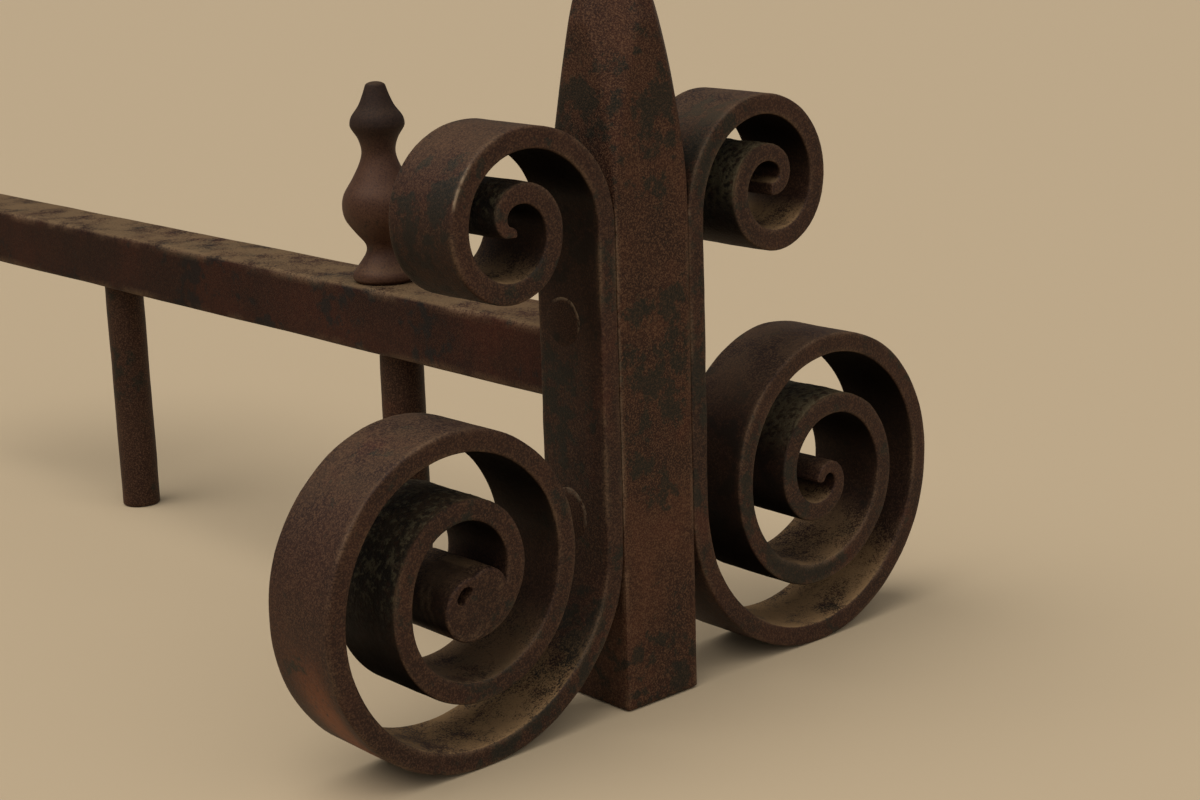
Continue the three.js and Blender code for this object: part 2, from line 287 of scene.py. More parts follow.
@dataclass(frozen=True)
class ForgedIron:
    """Wrought iron, hot forged and left bare: a matt brown oxide skin over hammered metal.

    The skin breaks the light softly and is grained by fine rust. Dark fire scale stays in small islands, heat
    reddens other places, handling brightens the arrises, soot, smoke and painted shade darken the curls inside and
    below, a highlight is painted on the rivets' rims, and pale ash dust lies where a face looks up. The oxide is no
    metal, so it has a dull, low gloss and only a little of the metal shows through.
    """

    name: str
    # The skin itself: lighter and darker oxide, oxide that heat reddened, and a stretch that glowed.
    oxide: str = "#40261b"
    oxide_dark: str = "#2d1a14"
    rust: str = "#4a2419"
    glow: str = "#7a4426"
    # What stands on it: fire scale, cinder crust with grey ash in its cracks, and rust grit beside its pits.
    scale: str = "#1c1f1a"
    cinder: str = "#15120e"
    ash: str = "#56513f"
    grit: str = "#745741"
    pit: str = "#140e0a"
    # What use left: rubbed arrises, dust, smoke and soot that also paint shade in and below the curls, bright nicks
    # from blows that also paint a highlight on the rivets' rims, and specks of lime.
    worn: str = "#7d6650"
    dust: str = "#957a5a"
    smoke_and_shade: str = "#1f130e"
    soot_and_shade: str = "#100c09"
    struck_and_highlight: str = "#a08d77"
    fleck: str = "#b9ab98"
    # How much of the surface each of them takes or covers.
    scale_share: float = 0.45
    rust_share: float = 0.45
    dust_share: float = 0.12
    sheltered_dust: float = 0.95
    worn_share: float = 0.4
    grit_share: float = 0.42
    # A blotch of oxide is as wide as a hammer's face, and islands of scale are 5 to 10 mm across.
    blotch_mm: float = 34.0
    patch_mm: float = 9.0
    # A grain of rust is really 0.2 to 0.4 mm wide. That is too fine to show, so it is drawn at 0.65 mm.
    grain_mm: float = 0.65
    # The skin ripples every 2 to 3 mm, and cinder lies in lumps of the same width.
    ripple_mm: float = 2.6
    lump_mm: float = 2.6
    # An arris is rubbed over a thumb's width at a time, and dust drifts together over a finger's width.
    rubbed_mm: float = 26.0
    drift_mm: float = 16.0
    fleck_gap_mm: float = 17.0
    # Depth of the pits, and how far scale and crust stand up.
    pit_depth_mm: float = 0.12
    scale_step_mm: float = 0.05
    crust_rise_mm: float = 2.6
    # Oxide scatters light widely, and its gloss is below that of paint or stone.
    roughness: float = 0.6
    metallic: float = 0.2
    gloss: float = 0.22
    seed: float = 0.0

    def _noises(self, tree: bpy.types.NodeTree, place: bpy.types.NodeSocket) -> list[bpy.types.Node]:
        """Add the noises that the finish is made from.

        Args:
            tree: The material's tree.
            place: Socket of a point's place on the piece.

        Returns:
            The noises of blotches, regions, patches, reddening, grain, ripple, rubbing, lumps and drifts.
        """
        # Width in millimetres, what is added to the seed, how many finer layers, and how strong each of them is.
        sorts = (
            (self.blotch_mm, 0.0, 4.0, 0.55),
            (self.blotch_mm * 1.3, 3.7, 2.0, 0.5),
            (self.patch_mm, 5.1, 5.0, 0.7),
            (self.blotch_mm, 7.1, 4.0, 0.55),
            (self.grain_mm, 11.3, 3.0, 0.65),
            (self.ripple_mm, 17.9, 4.0, 0.6),
            (self.rubbed_mm, 19.3, 3.0, 0.6),
            (self.lump_mm, 31.0, 4.0, 0.65),
            (self.drift_mm, 23.1, 3.0, 0.6),
        )
        made = []
        for width, shift, detail, rough in sorts:
            inputs = {"Vector": place, "W": self.seed + shift, "Scale": 1 / (width * MM)}
            inputs |= {"Detail": detail, "Roughness": rough}
            made.append(add_node(tree, "ShaderNodeTexNoise", {"noise_dimensions": "4D"}, inputs))
        return made

    def material(self) -> bpy.types.Material:
        """Build the finish.

        Returns:
            The material.
        """
        made = bpy.data.materials.new(self.name)
        made.use_nodes = True
        tree = made.node_tree
        tree.nodes.clear()
        add = partial(add_node, tree)
        place = add("ShaderNodeTexCoord").outputs["Object"]
        blotch, region, patch, reddish, grain, ripple, stretch, lumps, drift = self._noises(tree, place)
        stored = [add("ShaderNodeAttribute", {"attribute_name": name}).outputs["Fac"] for name in ("arris", *MARKS)]
        arris, crust, ashen, shelter, sooted, smoked, nick, ember, scaling = stored
        normal = add("ShaderNodeNewGeometry").outputs["Normal"]
        facing_up = add("ShaderNodeSeparateXYZ", None, {0: normal}).outputs[2]

        # Heat reddens some regions; fire scale stays in soft-edged islands that gather in others.
        lighter = add(RANGE, SMOOTHLY, {0: blotch, 1: 0.36, 2: 0.66})
        edge = 0.66 - 0.25 * self.rust_share
        rusty = add(RANGE, SMOOTHLY, {0: reddish, 1: edge, 2: edge + 0.2, 4: 0.8})
        glowed = add(MATH, MULTIPLY, {0: ember, 1: add(RANGE, SMOOTHLY, {0: ripple, 1: 0.22, 2: 0.52})})
        low = 0.61 - 0.2 * self.scale_share
        gathered = add(MATH, MULTIPLY_ADD, {0: scaling, 1: 0.14, 2: -0.4})
        gathered = add(MATH, MULTIPLY_ADD, {0: region, 1: 0.8, 2: gathered})
        scaled = add(MATH, ADD, {0: patch, 1: gathered})
        islands = add(RANGE, SMOOTHLY, {0: scaled, 1: low + 0.02, 2: low + 0.12, 4: 0.85})
        # Smoke and painted shade darken the skin in and below the curls.
        smoke_and_shade_share = add(MATH, MULTIPLY, {0: smoked, 1: 0.9})

        # Fine rust grains the skin, pale where it stands up and dark in its pits.
        pitted = add(RANGE, SMOOTHLY, {0: grain, 1: 0.48, 2: 0.34, 4: 0.5})
        bare = add(MATH, MULTIPLY_ADD, {0: islands, 1: -0.65, 2: 1.0})
        bare = add(MATH, MULTIPLY_ADD, {0: smoked, 1: -0.7, 2: bare})
        bare = add(MATH, MAXIMUM, {0: bare, 1: 0.0})
        gritty = add(RANGE, SMOOTHLY, {0: grain, 1: 0.46, 2: 0.63, 4: self.grit_share})
        gritty = add(MATH, MULTIPLY, {0: gritty, 1: bare})

        # The inner turns are crusted: black cinder, with grey ash in its cracks where it looks up.
        crusted = add(MATH, MULTIPLY, {0: crust, 1: add(RANGE, SMOOTHLY, {0: ripple, 1: 0.3, 2: 0.5, 4: 0.95})})
        loose = add(MATH, MULTIPLY_ADD, {0: ashen, 1: 0.13, 2: lumps})
        looking_up = add(RANGE, SMOOTHLY, {0: facing_up, 1: -0.5, 2: 0.5, 4: 0.85})
        cracked = add(MATH, MULTIPLY, {0: add(RANGE, SMOOTHLY, {0: loose, 1: 0.53, 2: 0.67}), 1: looking_up})
        inputs = {0: cracked, 6: linear(self.cinder), 7: linear(self.ash)}
        burnt = add("ShaderNodeMix", {"data_type": "RGBA"}, inputs).outputs[2]

        # Handling rubs the arrises bright, in some stretches more than in others, and blows nick them.
        # The nick mark also paints a highlight on the rivets' rims.
        rubbed = add(RANGE, SMOOTHLY, {0: stretch, 1: 0.4, 2: 0.66, 4: self.worn_share})
        rubbed = add(MATH, MULTIPLY, {0: add(RANGE, SMOOTHLY, {0: grain, 1: 0.25, 2: 0.6}), 1: rubbed})
        rubbed = add(MATH, MULTIPLY, {0: arris, 1: rubbed})
        bright = add(MATH, MULTIPLY, {0: nick, 1: add(RANGE, SMOOTHLY, {0: ripple, 1: 0.35, 2: 0.52})})

        # Painted shade, with soot: faces inside the curls that look down are darkened where they lie in shade.
        soot_and_shade_share = add(MATH, MULTIPLY, {0: add(RANGE, SMOOTHLY, {0: facing_up, 1: 0.2, 2: -0.65, 4: 0.95}), 1: sooted})

        # Ash dust lies on faces that look up, thickest inside the curls.
        upward = add(RANGE, SMOOTHLY, {0: facing_up, 1: 0.4, 2: 0.95})
        broken = add(MATH, MULTIPLY_ADD, {0: grain, 1: 1.1, 2: -0.55})
        drifted = add(RANGE, SMOOTHLY, {0: add(MATH, ADD, {0: drift, 1: broken}), 1: 0.31, 2: 0.58})
        lying = add(MATH, MULTIPLY, {0: upward, 1: drifted})
        amount = add(MATH, MULTIPLY_ADD, {0: shelter, 1: self.sheltered_dust, 2: self.dust_share})
        dusty = add(MATH, MINIMUM, {0: add(MATH, MULTIPLY, {0: lying, 1: amount}), 1: 0.9})

        # A few pale flecks of lime and ash, a little under a millimetre across.
        cells = add("ShaderNodeTexVoronoi", None, {"Vector": place, "Scale": 1 / (self.fleck_gap_mm * MM)}).outputs
        near = add(RANGE, SMOOTHLY, {0: cells["Distance"], 1: 0.03, 2: 0.018, 4: 0.8})
        picked = add("ShaderNodeSeparateColor", None, {0: cells["Color"]})
        flecked = add(MATH, MULTIPLY, {0: near, 1: add(RANGE, SMOOTHLY, {0: picked, 1: 0.88, 2: 0.9})})

        colour = linear(self.oxide_dark)
        for share, paint in (
            (lighter, linear(self.oxide)),
            (rusty, linear(self.rust)),
            (glowed, linear(self.glow)),
            (islands, linear(self.scale)),
            (smoke_and_shade_share, linear(self.smoke_and_shade)),
            (pitted, linear(self.pit)),
            (gritty, linear(self.grit)),
            (crusted, burnt),
            (rubbed, linear(self.worn)),
            (bright, linear(self.struck_and_highlight)),
            (soot_and_shade_share, linear(self.soot_and_shade)),
            (dusty, linear(self.dust)),
            (flecked, linear(self.fleck)),
        ):
            colour = add("ShaderNodeMix", {"data_type": "RGBA"}, {0: share, 6: colour, 7: paint}).outputs[2]

        # Height in millimetres: ripple, grain, the step up to an island of scale, and coarse crust.
        relief = self.pit_depth_mm * 1.6
        height = add(MATH, MULTIPLY, {0: ripple, 1: relief})
        coarse = add(MATH, MULTIPLY, {0: crust, 1: lumps})
        for part, rise in ((grain, relief), (islands, self.scale_step_mm), (coarse, self.crust_rise_mm)):
            height = add(MATH, MULTIPLY_ADD, {0: part, 1: rise, 2: height})
        bump = add("ShaderNodeBump", None, {"Height": height, "Distance": MM, "Strength": 0.9})

        # Dust, soot and smoke, with the painted shade they carry, are dull, and no metal shows through them.
        covered = add(MATH, MAXIMUM, {0: dusty, 1: soot_and_shade_share})
        covered = add(MATH, MAXIMUM, {0: covered, 1: add(MATH, MULTIPLY, {0: smoked, 1: 0.5})})
        dull = add(RANGE, SMOOTHLY, {0: grain, 1: 0.3, 2: 0.7, 4: 0.16})
        dull = add(MATH, ADD, {0: dull, 1: self.roughness - 0.08})
        dull = add(MATH, MULTIPLY_ADD, {0: covered, 1: 0.3, 2: dull})
        inputs = {"Base Color": colour, "Roughness": dull, "Normal": bump}
        for name, most in (("Metallic", self.metallic), ("Specular IOR Level", self.gloss)):
            inputs[name] = add(MATH, MULTIPLY_ADD, {0: covered, 1: -most, 2: most})
        add("ShaderNodeOutputMaterial", None, {"Surface": add("ShaderNodeBsdfPrincipled", None, inputs)})
        return made


# The post is square bar, hammered hot on all four faces. The blows left shallow flats and a skin full of rust grit,
# so it looks matt and the reddest of all, with many small islands of scale.
POST_FINISH = ForgedIron(
    "forged_iron_hammered_oxide", oxide="#492c1f", scale_share=0.5, grit_share=0.55, patch_mm=6.0, seed=1.0
)

# The straps are flat bar, rolled hot round a form. Bending sheds part of the scale and pits the skin more deeply, so
# they look darker than the post and catch the light with a faint sheen.
STRAP_FINISH = ForgedIron(
    "forged_iron_rolled_strap",
    oxide="#372018",
    oxide_dark="#291813",
    scale_share=0.5,
    rust_share=0.32,
    grit_share=0.36,
    pit_depth_mm=0.16,
    gloss=0.28,
    seed=2.0,
)

# The rivets' heads are struck nearly flat. The last blows leave little scale, so each is a plain dark disc.
RIVET_FINISH = ForgedIron("forged_iron_hammered_rivet", oxide="#331f18", scale_share=0.3, seed=3.0)

# The log bar lies in the fire. Heat burnt off its grit and browned it to a dull dark red, and logs rub its arrises
# and leave a coat of ash on its top.
BAR_FINISH = ForgedIron(
    "forged_iron_bar_heat_browned",
    oxide="#391b14",
    oxide_dark="#281512",
    rust="#431c15",
    scale="#191a1c",
    dust="#7b674f",
    grit_share=0.18,
    dust_share=0.75,
    worn_share=0.6,
    gloss=0.14,
    metallic=0.12,
    seed=4.0,
)

# The legs are round bar, left nearly as it came from the rolls: an even, dark, grainy skin.
LEG_FINISH = ForgedIron("forged_iron_round_leg", oxide="#35221a", rust_share=0.35, seed=5.0)

# The log stop was turned on a lathe and then oxidised. No hammer touched it, so its skin is thin, paler and smooth,
# without scale or deep pits, and smoke greys it rather than browns it.
STOP_FINISH = ForgedIron(
    "turned_iron_smooth_oxide",
    oxide="#50372b",
    oxide_dark="#452e25",
    rust="#583629",
    smoke_and_shade="#282322",
    scale_share=-0.4,
    rust_share=0.3,
    grit_share=0.2,
    dust_share=0.1,
    pit_depth_mm=0.05,
    roughness=0.55,
    seed=6.0,
)


# ---- Forging ----


@dataclass(frozen=True)
class HammerWork:
    """How uneven the hammer left a surface: long waves, and dents as wide as one blow, all in millimetres."""

    wave_depth: float = 0.3
    wave_size: float = 42.0
    dent_depth: float = 0.05
    dent_size: float = 20.0
    crust_depth: float = 1.3
    seed: float = 0.0

    def tree_values(self, finish: ForgedIron) -> dict:
        """List the values of the hammering tree's inputs.

        Args:
            finish: Finish of the hammered piece.

        Returns:
            The values by the inputs' names.
        """
        return {
            "Wave depth": self.wave_depth * MM,
            "Wave size": self.wave_size * MM,
            "Dent depth": self.dent_depth * MM,
            "Dent size": self.dent_size * MM,
            "Crust depth": self.crust_depth * MM,
            "Seed": self.seed,
            "Finish": finish.material(),
        }


class Forge:
    """Two geometry trees: one draws a bar along a path, the other hammers a surface and gives it its finish."""

    def __init__(self) -> None:
        """Build both trees."""
        self.drawing = self._drawing_tree()
        self.hammering = self._hammering_tree()

    def _drawing_tree(self) -> bpy.types.NodeTree:
        """Build the tree that carries a section along a path.

        Returns:
            The tree. Its geometry is the path, a chain of edges that holds at each point its middle, the ways across
            and along the section, and how far the section is drawn down there.
        """
        tree = new_tree("drawn_bar", [("Section", "NodeSocketObject")])
        add = partial(add_node, tree)
        start = add("NodeGroupInput").outputs
        path = add("GeometryNodeMeshToCurve", None, {"Mesh": start["Geometry"]})
        source = add("GeometryNodeObjectInfo", None, {"Object": start["Section"]})
        section = add("GeometryNodeMeshToCurve", None, {"Mesh": source.outputs["Geometry"]})
        inputs = {"Curve": path, "Profile Curve": section, "Fill Caps": True}
        swept = add("GeometryNodeCurveToMesh", None, inputs)
        middle, across, broad, draw, spot = (
            add("GeometryNodeInputNamedAttribute", {"data_type": "FLOAT_VECTOR"}, {"Name": name})
            for name in ("middle", "across", "broad", "draw", "section")
        )
        shares = add("ShaderNodeSeparateXYZ", None, {0: add(VECTORS, MULTIPLY, {0: spot, 1: draw})}).outputs
        arms = [
            add(VECTORS, {"operation": "SCALE"}, {0: way, "Scale": shares[k]}) for k, way in enumerate((across, broad))
        ]
        reach = add(VECTORS, ADD, {0: arms[0], 1: arms[1]})
        inputs = {"Geometry": swept, "Position": add(VECTORS, ADD, {0: middle, 1: reach})}
        placed = add("GeometryNodeSetPosition", None, inputs)
        whole = add("GeometryNodeRealizeInstances", None, {0: placed})
        add("NodeGroupOutput", None, {"Geometry": whole})
        return tree

    def _hammering_tree(self) -> bpy.types.NodeTree:
        """Build the tree that dents a surface and sets its material.

        Returns:
            The tree, with depths and sizes in metres.
        """
        numbers = ("Wave depth", "Wave size", "Dent depth", "Dent size", "Crust depth", "Seed")
        sockets = [(name, "NodeSocketFloat") for name in numbers] + [("Finish", "NodeSocketMaterial")]
        tree = new_tree("hammered_surface", sockets)
        add = partial(add_node, tree)
        start = add("NodeGroupInput").outputs

        # Two noises, centred on 0: long waves, and cinder crust that swells every 6 to 7 mm.
        swells = []
        for size, shift, detail in ((start["Wave size"], 0.0, 1.0), (6.5 * MM, 5.0, 2.0)):
            inputs = {"W": add(MATH, ADD, {0: start["Seed"], 1: shift}), "Scale": add(MATH, DIVIDE, {0: 1.0, 1: size})}
            noise = add("ShaderNodeTexNoise", {"noise_dimensions": "4D"}, inputs | {"Detail": detail})
            swells.append(add(MATH, SUBTRACT, {0: noise, 1: 0.5}))
        wave = add(MATH, MULTIPLY, {0: swells[0], 1: add(MATH, MULTIPLY, {0: start["Wave depth"], 1: 2.0})})
        crust = add("GeometryNodeInputNamedAttribute", {"data_type": "FLOAT"}, {"Name": "crust"})
        lumps = add(MATH, MULTIPLY, {0: swells[1], 1: add(MATH, MULTIPLY, {0: crust, 1: start["Crust depth"]})})

        # Each dent is a shallow cup about the middle of a cell.
        inputs = {"W": start["Seed"], "Scale": add(MATH, DIVIDE, {0: 1.0, 1: start["Dent size"]}), "Smoothness": 0.35}
        cells = add("ShaderNodeTexVoronoi", {"voronoi_dimensions": "4D", "feature": "SMOOTH_F1"}, inputs)
        cup = add(MATH, SUBTRACT, {0: cells, 1: 0.45})
        dent = add(MATH, MULTIPLY, {0: cup, 1: add(MATH, MULTIPLY, {0: start["Dent depth"], 1: 2.0})})

        rise = add(MATH, ADD, {0: add(MATH, ADD, {0: wave, 1: dent}), 1: lumps})
        move = add(VECTORS, {"operation": "SCALE"}, {0: add("GeometryNodeInputNormal"), "Scale": rise})
        dented = add("GeometryNodeSetPosition", None, {"Geometry": start["Geometry"], "Offset": move})

        # Nothing sinks into the hearth.
        place = add("ShaderNodeSeparateXYZ", None, {0: add("GeometryNodeInputPosition")}).outputs
        inputs = {0: place[0], 1: place[1], 2: add(MATH, MAXIMUM, {0: place[2], 1: 0.0})}
        kept = add("ShaderNodeCombineXYZ", None, inputs)
        standing = add("GeometryNodeSetPosition", None, {"Geometry": dented, "Position": kept})
        whole = add("GeometryNodeRealizeInstances", None, {0: standing})
        done = add("GeometryNodeSetMaterial", None, {"Geometry": whole, "Material": start["Finish"]})
        add("NodeGroupOutput", None, {"Geometry": done})
        return tree

    def draw(self, name: str, path: "BarPath", section: "BarSection") -> bpy.types.Mesh:
        """Draw a bar of a section along a path.

        Args:
            name: Name of the mesh.
            path: The way the bar runs.
            section: Its section.

        Returns:
            The closed mesh.
        """
        way = as_object(name + "_path", path.mesh())
        outline = as_object(name + "_section", section.mesh())
        made = run_tree(way, self.drawing, {"Section": outline})
        made.name = name
        discard(way, outline)
        for edge, end in zip(made.attributes["arris"].data, made.attributes["end"].data):
            edge.value *= 1 - end.value
        close_up(made)
        return made

    def hammer(self, name: str, mesh: bpy.types.Mesh, work: HammerWork, finish: ForgedIron) -> bpy.types.Object:
        """Hammer a mesh, give it its finish and put it in the scene.

        Args:
            name: Name of the piece, which is also the name of the solid that it stands for.
            mesh: The smooth mesh.
            work: How uneven it is.
            finish: Its finish.

        Returns:
            The finished piece.
        """
        blank = as_object(name + "_blank", mesh)
        made = run_tree(blank, self.hammering, work.tree_values(finish))
        discard(blank)
        made.name = name + "_looks"
        piece = as_object(name + "_looks", made)
        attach(piece, BODY)
        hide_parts(name)
        return piece


@dataclass
class BarSection:
    """A rectangle with rounded arrises, in millimetres: thickness across the bar and width along its broad side."""

    thickness: float
    width: float
    arris: float
    arris_steps: int = 4
    step: float = 2.0

    def mesh(self) -> bpy.types.Mesh:
        """Build the outline.

        Returns:
            A ring of edges that holds each point's place in the section and its closeness to an arris.
        """
        points: list[tuple[float, float]] = []
        half_t, half_w = self.thickness / 2 - self.arris, self.width / 2 - self.arris
        corners = [(half_t, half_w), (-half_t, half_w), (-half_t, -half_w), (half_t, -half_w)]
        for k, (x, y) in enumerate(corners):
            for step in range(self.arris_steps + 1):
                angle = math.pi / 2 * (k + step / self.arris_steps)
                points.append((x + self.arris * math.cos(angle), y + self.arris * math.sin(angle)))
            after = corners[(k + 1) % 4]
            normal = math.pi / 2 * (k + 1)
            length = math.hypot(after[0] - x, after[1] - y)
            cuts = int(length // self.step)
            for cut in range(1, cuts + 1):
                share = cut / (cuts + 1)
                points.append(
                    (
                        x + (after[0] - x) * share + self.arris * math.cos(normal),
                        y + (after[1] - y) * share + self.arris * math.sin(normal),
                    )
                )
        mesh = bpy.data.meshes.new("section")
        count = len(points)
        mesh.from_pydata([(x * MM, y * MM, 0) for x, y in points], [(k, (k + 1) % count) for k in range(count)], [])
        set_values(mesh, "section", "FLOAT_VECTOR", [(x * MM, y * MM, 0) for x, y in points])
        set_values(mesh, "arris", "FLOAT", [self._closeness(x, y) for x, y in points])
        return mesh

    def _closeness(self, x: float, y: float) -> float:
        """Tell how close a point of the section is to an arris.

        Args:
            x: Its place across the thickness in millimetres.
            y: Its place across the width.

        Returns:
            A share from 0 to 1, which is 0 all round on a round bar.
        """
        if self.arris * 2 >= min(self.thickness, self.width) * 0.99:
            return 0.0
        inset = math.hypot(self.thickness / 2 - abs(x), self.width / 2 - abs(y))
        return smooth(inset, self.arris * 1.5, self.arris * 0.45)


@dataclass
class BarPath:
    """The way of a bar: at each point its middle, the way across its section, and how far it is drawn down."""

    broad: Vector
    middles: list[Vector] = field(default_factory=list)
    across: list[Vector] = field(default_factory=list)
    draws: list[tuple[float, float]] = field(default_factory=list)
    ends: list[float] = field(default_factory=list)

    def add(self, middle: Vector, across: Vector, draw: tuple[float, float] = (1.0, 1.0), end: float = 0.0) -> None:
        """Add a point.

        Args:
            middle: Its middle in millimetres.
            across: The way across the section there.
            draw: What is left there of the section's thickness and width, as shares.
            end: 1 for a ring within a flat end, and 0 elsewhere.
        """
        self.middles.append(middle)
        self.across.append(across)
        self.draws.append(draw)
        self.ends.append(end)

    def face(self, drawn: float) -> None:
        """Close the last point's flat end with rings about its middle, so that the hammering can dent it too."""
        for share in FACE_RINGS:
            self.add(self.middles[-1], self.across[-1], (drawn * share, drawn * share), 1.0)

    def mesh(self) -> bpy.types.Mesh:
        """Build the chain of edges.

        Returns:
            A mesh that holds the path's values at its points.
        """
        mesh = bpy.data.meshes.new("path")
        points = [tuple(middle * MM) for middle in self.middles]
        mesh.from_pydata(points, [(k, k + 1) for k in range(len(points) - 1)], [])
        set_values(mesh, "middle", "FLOAT_VECTOR", points)
        set_values(mesh, "across", "FLOAT_VECTOR", [tuple(way) for way in self.across])
        set_values(mesh, "broad", "FLOAT_VECTOR", [tuple(self.broad)] * len(points))
        set_values(mesh, "draw", "FLOAT_VECTOR", [(a, b, 0) for a, b in self.draws])
        set_values(mesh, "end", "FLOAT", self.ends)
        return mesh


# ---- Post ----


@dataclass
class FrontPost:
    """Square post, hammered to a blunt eight-sided point above its shoulder.

    Between the two heights of cut_stretch above the shoulder the corners are hammered off, each to its own share,
    and over soft_stretch the arrises go from crisp to soft. Each spot of scale is a place and a reach.
    """

    side: float = 38.1
    arris: float = 0.5
    foot_bevel: float = 1.2
    shoulder: float = 195.0
    point_length: float = 120.7
    bluntness: float = 0.957
    face_to_corner: float = 1.13
    corner_cuts: tuple[float, float, float, float] = (0.2, 1.45, 0.2, 0.45)
    cut_stretch: tuple[float, float] = (10.0, 80.0)
    soft_stretch: tuple[float, float] = (-14.0, 45.0)
    dome: float = 3.2
    ring_step: float = 1.7
    points_round: int = 120
    sharpness: float = 90.0
    soft_sharpness: float = 30.0
    scale_spots: tuple[tuple[float, float, float, float], ...] = (
        (4.0, -16.0, 240.0, 9.0),
        (0.0, -17.5, 222.0, 7.0),
        (1.0, -18.5, 204.0, 10.0),
        (-16.0, -2.0, 242.0, 8.0),
        (0.0, -19.0, 180.0, 7.0),
        (-10.0, -19.0, 160.0, 8.0),
        (7.0, -19.0, 163.0, 9.0),
        (-3.0, -19.0, 131.0, 8.0),
        (9.0, -19.0, 120.0, 8.0),
        (1.0, -19.0, 86.0, 9.0),
        (-9.0, -19.0, 98.0, 6.0),
    )
    work: HammerWork = HammerWork(wave_depth=0.35, wave_size=52, dent_depth=0.06, dent_size=22, seed=1.3)

    def _half_widths(self, height: float) -> tuple[float, float]:
        """Measure the post at a height.

        Args:
            height: Height above the hearth.

        Returns:
            Its half widths across the faces and across the corners.
        """
        half = self.side / 2
        corner = (self.side - self.arris) / math.sqrt(2)
        if height < self.foot_bevel:
            inset = self.foot_bevel - height
            return half - inset, corner - math.sqrt(2) * inset
        if height <= self.shoulder:
            return half, corner
        along = (height - self.shoulder) / self.point_length
        corner *= 1 - along * along
        return min(half, self.face_to_corner * corner), corner

    def _ring(self, height: float) -> list[Vector]:
        """Build one ring, with the hammered-off corners as four planes of their own.

        Args:
            height: Height above the hearth in millimetres.

        Returns:
            The ring's points in metres.
        """
        face, corner = self._half_widths(height)
        planes = [(k * math.pi / 2, face) for k in range(4)]
        first, last = self.cut_stretch
        hump = math.sin(math.pi * min(max((height - self.shoulder - first) / (last - first), 0), 1))
        planes += [(math.pi / 4 + k * math.pi / 2, corner - cut * hump) for k, cut in enumerate(self.corner_cuts)]
        # The arrises of the hammered-off corners are far softer than those of the square bar.
        crisp, soft = (self.shoulder + reach for reach in self.soft_stretch)
        sharpness = self.sharpness + (self.soft_sharpness - self.sharpness) * smooth(height, crisp, soft)
        ring = []
        for k in range(self.points_round):
            # Points are spread evenly along the square's sides, so that its arrises stay crisp.
            quarter, along = divmod(k / self.points_round * 4, 1)
            angle = quarter * math.pi / 2 + math.atan(2 * along - 1)
            total = sum((max(math.cos(angle - way), 0) / far) ** sharpness for way, far in planes)
            radius = total ** (-1 / sharpness)
            ring.append(Vector((radius * math.cos(angle), radius * math.sin(angle), height)) * MM)
        return ring

    def build(self, forge: Forge) -> bpy.types.Object:
        """Build and dress the post.

        Args:
            forge: The trees that finish it.

        Returns:
            The piece.
        """
        neck = self.shoulder + self.bluntness * self.point_length - self.dome
        shank = neck - self.foot_bevel
        count = int(shank / self.ring_step)
        heights = [0.0, 0.4 * self.foot_bevel] + [self.foot_bevel + shank * k / count for k in range(count + 1)]
        rings = [self._ring(height) for height in heights]
        for degrees in POINT_DEGREES:
            share, rise = math.cos(math.radians(degrees)), math.sin(math.radians(degrees))
            height = neck + self.dome * rise
            rings.append([Vector((p.x * share, p.y * share, height * MM)) for p in self._ring(neck)])
        mesh = ringed("front_post", rings)
        self._mark(mesh)
        piece = forge.hammer("front_post", mesh, self.work, POST_FINISH)
        return piece

    def _mark(self, mesh: bpy.types.Mesh) -> None:
        """Store each point's closeness to an arris, the dust in the seam beside the left strap and spots of scale.

        Args:
            mesh: The post.
        """
        values, seam, spots = [], [], []
        for vertex in mesh.vertices:
            x, y, height = (number / MM for number in vertex.co)
            face, corner = self._half_widths(min(height, self.shoulder + 0.9 * self.point_length))
            reach = (abs(x) + abs(y)) / math.sqrt(2)
            close = smooth(face - max(abs(x), abs(y)) + corner - reach, 1.6, 0.4)
            values.append(close * smooth(height, self.shoulder + 10, self.shoulder - 25))
            # The seam shows pale on the front left arris, beside the strap's straight stretch.
            line = smooth(-x, face - 1.3, face - 0.5) * smooth(-y, face - 1.0, face - 0.4)
            seam.append(0.2 * line * smooth(height, 60, 80) * smooth(height, self.shoulder + 12, self.shoulder - 4))
            far = [math.dist((x, y, height), spot[:3]) / spot[3] for spot in self.scale_spots]
            spots.append(max(smooth(share, 1.4, 0.3) for share in far))
        set_values(mesh, "arris", "FLOAT", values)
        set_values(mesh, "nick", "FLOAT", seam)
        set_values(mesh, "scaling", "FLOAT", spots)


# ---- Straps ----


@dataclass
class Volute:
    """One rolled end of a strap: the middle line's radii at successive quarter turns, and where its eye lies.

    The outer face is crusted with scale over a stretch of quarter turns. The bar is cut back by a share of the last
    quarter turn, and its end is rounded fully at a softness of 1 and cut square at 0.
    """

    radii: list[float]
    eye_out: float
    eye_up: float
    crusted: tuple[float, float]
    centre_height: float = 0.0
    thin_from_turn: float | None = None
    tip_thickness: float = 8.4
    cut_back: float = 0.0
    tip_softness: float = 1.0

    def radius_at(self, quarters: float) -> float:
        """Find the radius after some quarter turns, on a cubic through the radii that are given.

        Args:
            quarters: Quarter turns from the straight stretch.

        Returns:
            The middle line's radius in millimetres.
        """
        last = len(self.radii) - 1
        start = min(int(quarters), last - 1)
        t = quarters - start

        def slope(k: int) -> float:
            """Find the curve's slope at a given radius.

            Args:
                k: Number of the radius.

            Returns:
                Change of the radius in one quarter turn.
            """
            if k == 0:
                return 0.0
            if k == last:
                return self.radii[last] - self.radii[last - 1]
            return (self.radii[k + 1] - self.radii[k - 1]) / 2

        return (
            self.radii[start] * (2 * t**3 - 3 * t**2 + 1)
            + slope(start) * (t**3 - 2 * t**2 + t)
            + self.radii[start + 1] * (3 * t**2 - 2 * t**3)
            + slope(start + 1) * (t**3 - t**2)
        )


@dataclass
class VolutePoint:
    """A point of a strap's middle line: outwards, up, thickness there, quarter turns so far and way outwards."""

    out: float
    up: float
    thickness: float
    quarters: float
    normal: Vector


